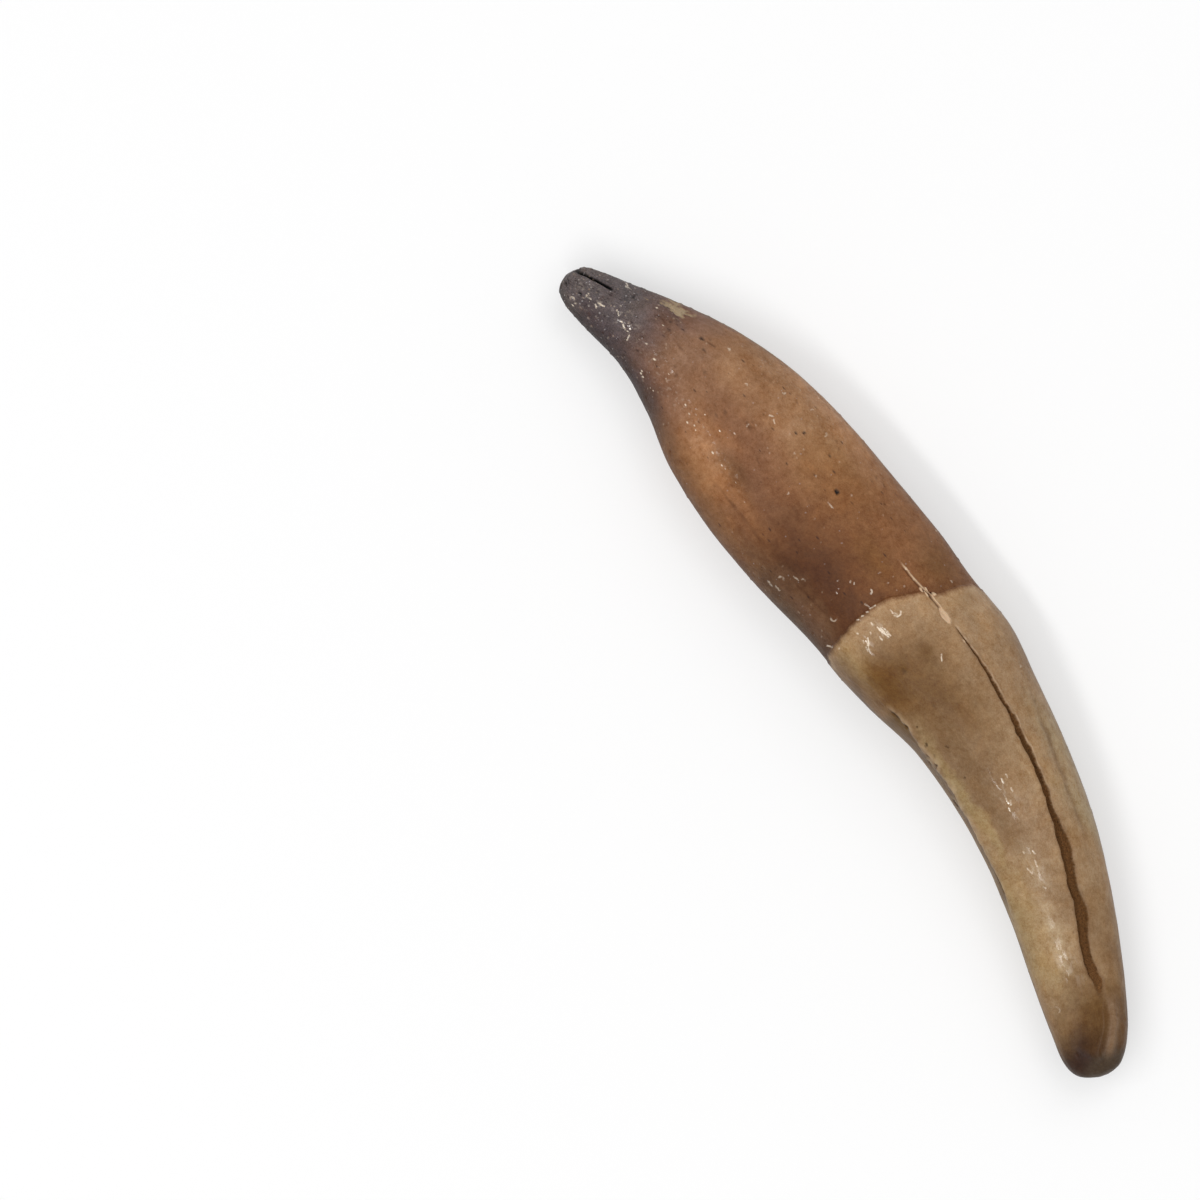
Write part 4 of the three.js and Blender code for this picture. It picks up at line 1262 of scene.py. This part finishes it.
def tooth_finish(shift):
    """The tooth's material: its colour with its painted highlights and shade, and its sheen, glaze and
    finest relief.
    """
    material = bpy.data.materials.new("fossil_tooth")
    material.use_nodes = True
    finish = Finish(material.node_tree, shift)
    shader = material.node_tree.nodes["Principled BSDF"]
    colour = marked_colour(finish, body_colour(finish))
    colour, pimples = speckled(finish, colour)
    raised, glaze_and_sheen, glitter = shiny_marks(finish)
    # Painted highlights: the rings, streaks and specks are lightened towards the glint colour, and the glaze
    # strokes a little as painted sheen
    colour = finish.tinted(colour, finish.largest(raised, glitter), 0.8, PAINTED_GLINT)
    colour = finish.tinted(colour, glaze_and_sheen, 0.2, PAINTED_GLINT)

    dull = finish.noise(finish.straight, 1.1, 3.0)
    open_floor = finish.largest(finish.attribute("crack_floor"), finish.attribute("flake"))
    roughness = finish.add_up(0.58, (finish.on_crown, -0.1), (dull, 0.2), (open_floor, 0.4))
    glaze = finish.largest(raised, glaze_and_sheen, glitter, finish.times(pimples, 0.6))
    glaze = finish.times(glaze, finish.less(open_floor))

    fine = finish.times(finish.noise(finish.straight, 2.6, 4.0, 0.65), FINE_BUMP)
    ripple = finish.times(finish.noise(finish.short, 3.6, 2.0, 0.5), RIPPLE_BUMP)
    crumbs = finish.noise(finish.straight, 6.0, 3.0, 0.7)
    height = finish.math("MULTIPLY_ADD", finish.on_crown, finish.math("SUBTRACT", ripple, fine), fine)
    gritty = finish.add_up(finish.times(finish.root_end, ROOT_END_BUMP), (open_floor, OPEN_BUMP))
    height = finish.math("MULTIPLY_ADD", gritty, crumbs, height)
    bump = finish.add("ShaderNodeBump", {"Height": height, "Distance": MM, "Strength": 1.0})

    finish.feed(shader.inputs["Base Color"], colour)
    finish.feed(shader.inputs["Roughness"], roughness)
    finish.feed(shader.inputs["Coat Weight"], glaze)
    finish.feed(shader.inputs["Normal"], bump.outputs["Normal"])
    for name, value in SURFACE.items():
        shader.inputs[name].default_value = value
    return material


# --- The studio
PAPER = {
    "Base Color": (0.5, 0.5, 0.5, 1), "Roughness": 0.8,
    "Emission Color": (1, 1, 1, 1), "Emission Strength": 0.43,
}
FLOOR_WIDTH = 3
FLOOR_GAP = 0.05
ROOM_LIGHT = 0.42
LIGHTS = [  # name, place in metres, width, height, power in watts
    ("strip", (0, -0.21, 0.45), 0.5, 0.05, 0.8),
    ("fill", (-0.15, 0.3, 0.5), 0.4, 0.4, 0.6),
    ("overhead", (0, 0, 1.1), 1.2, 1.2, 5.0),
]

# The view: its width, the middle of it on the tooth's plan, and the directions of its sides
VIEW_WIDTH = 75.38
VIEW_MIDDLE = (17.69, -9.06)
VIEW_LEVEL = 4
VIEW_RIGHT = (0.5622, 0.8270, 0)
VIEW_UP = (-0.8270, 0.5622, 0)
LENS = 400


def pale_floor():
    bpy.ops.mesh.primitive_plane_add(size=FLOOR_WIDTH, location=(0, 0, -FLOOR_GAP * MM))
    floor = bpy.context.object
    floor.name = "floor"
    paper = bpy.data.materials.new("pale_floor")
    paper.use_nodes = True
    shader = paper.node_tree.nodes["Principled BSDF"]
    for name, value in PAPER.items():
        shader.inputs[name].default_value = value
    floor.data.materials.append(paper)


def soft_light(name, place, width, height, power):
    light = bpy.data.lights.new(name, "AREA")
    light.shape = "RECTANGLE"
    light.size = width
    light.size_y = height
    light.energy = power
    lamp = bpy.data.objects.new(name, light)
    lamp.location = place
    lamp.rotation_euler = (-Vector(place)).to_track_quat("-Z", "Y").to_euler()
    bpy.context.scene.collection.objects.link(lamp)


def camera_over(shift):
    """A camera that looks straight down on the tooth, with the crown towards the lower right."""
    lens = bpy.data.cameras.new("camera")
    lens.lens = LENS
    lens.clip_start = 0.01
    camera = bpy.data.objects.new("camera", lens)
    distance = VIEW_WIDTH * MM * lens.lens / lens.sensor_width
    aim_x, aim_y = (at + moved for at, moved in zip(VIEW_MIDDLE, shift))
    aim = Vector((aim_x * MM, aim_y * MM, VIEW_LEVEL * MM))
    turn = Matrix((VIEW_RIGHT, VIEW_UP, (0, 0, 1))).transposed()
    camera.matrix_world = Matrix.Translation(aim + Vector((0, 0, distance))) @ turn.to_4x4()
    bpy.context.scene.collection.objects.link(camera)
    bpy.context.scene.camera = camera


def studio(shift):
    scene = bpy.context.scene
    scene.view_settings.view_transform = "Standard"
    world = bpy.data.worlds.new("soft_room")
    world.use_nodes = True
    background = world.node_tree.nodes["Background"]
    background.inputs["Color"].default_value = (1, 1, 1, 1)
    background.inputs["Strength"].default_value = ROOM_LIGHT
    scene.world = world
    pale_floor()
    for light in LIGHTS:
        soft_light(*light)
    camera_over(shift)


skin, shift = skin_mesh()
studio(shift)
tooth_skin = with_relief(skin, tooth_finish(shift))
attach(tooth_skin, "root")
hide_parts("tooth")
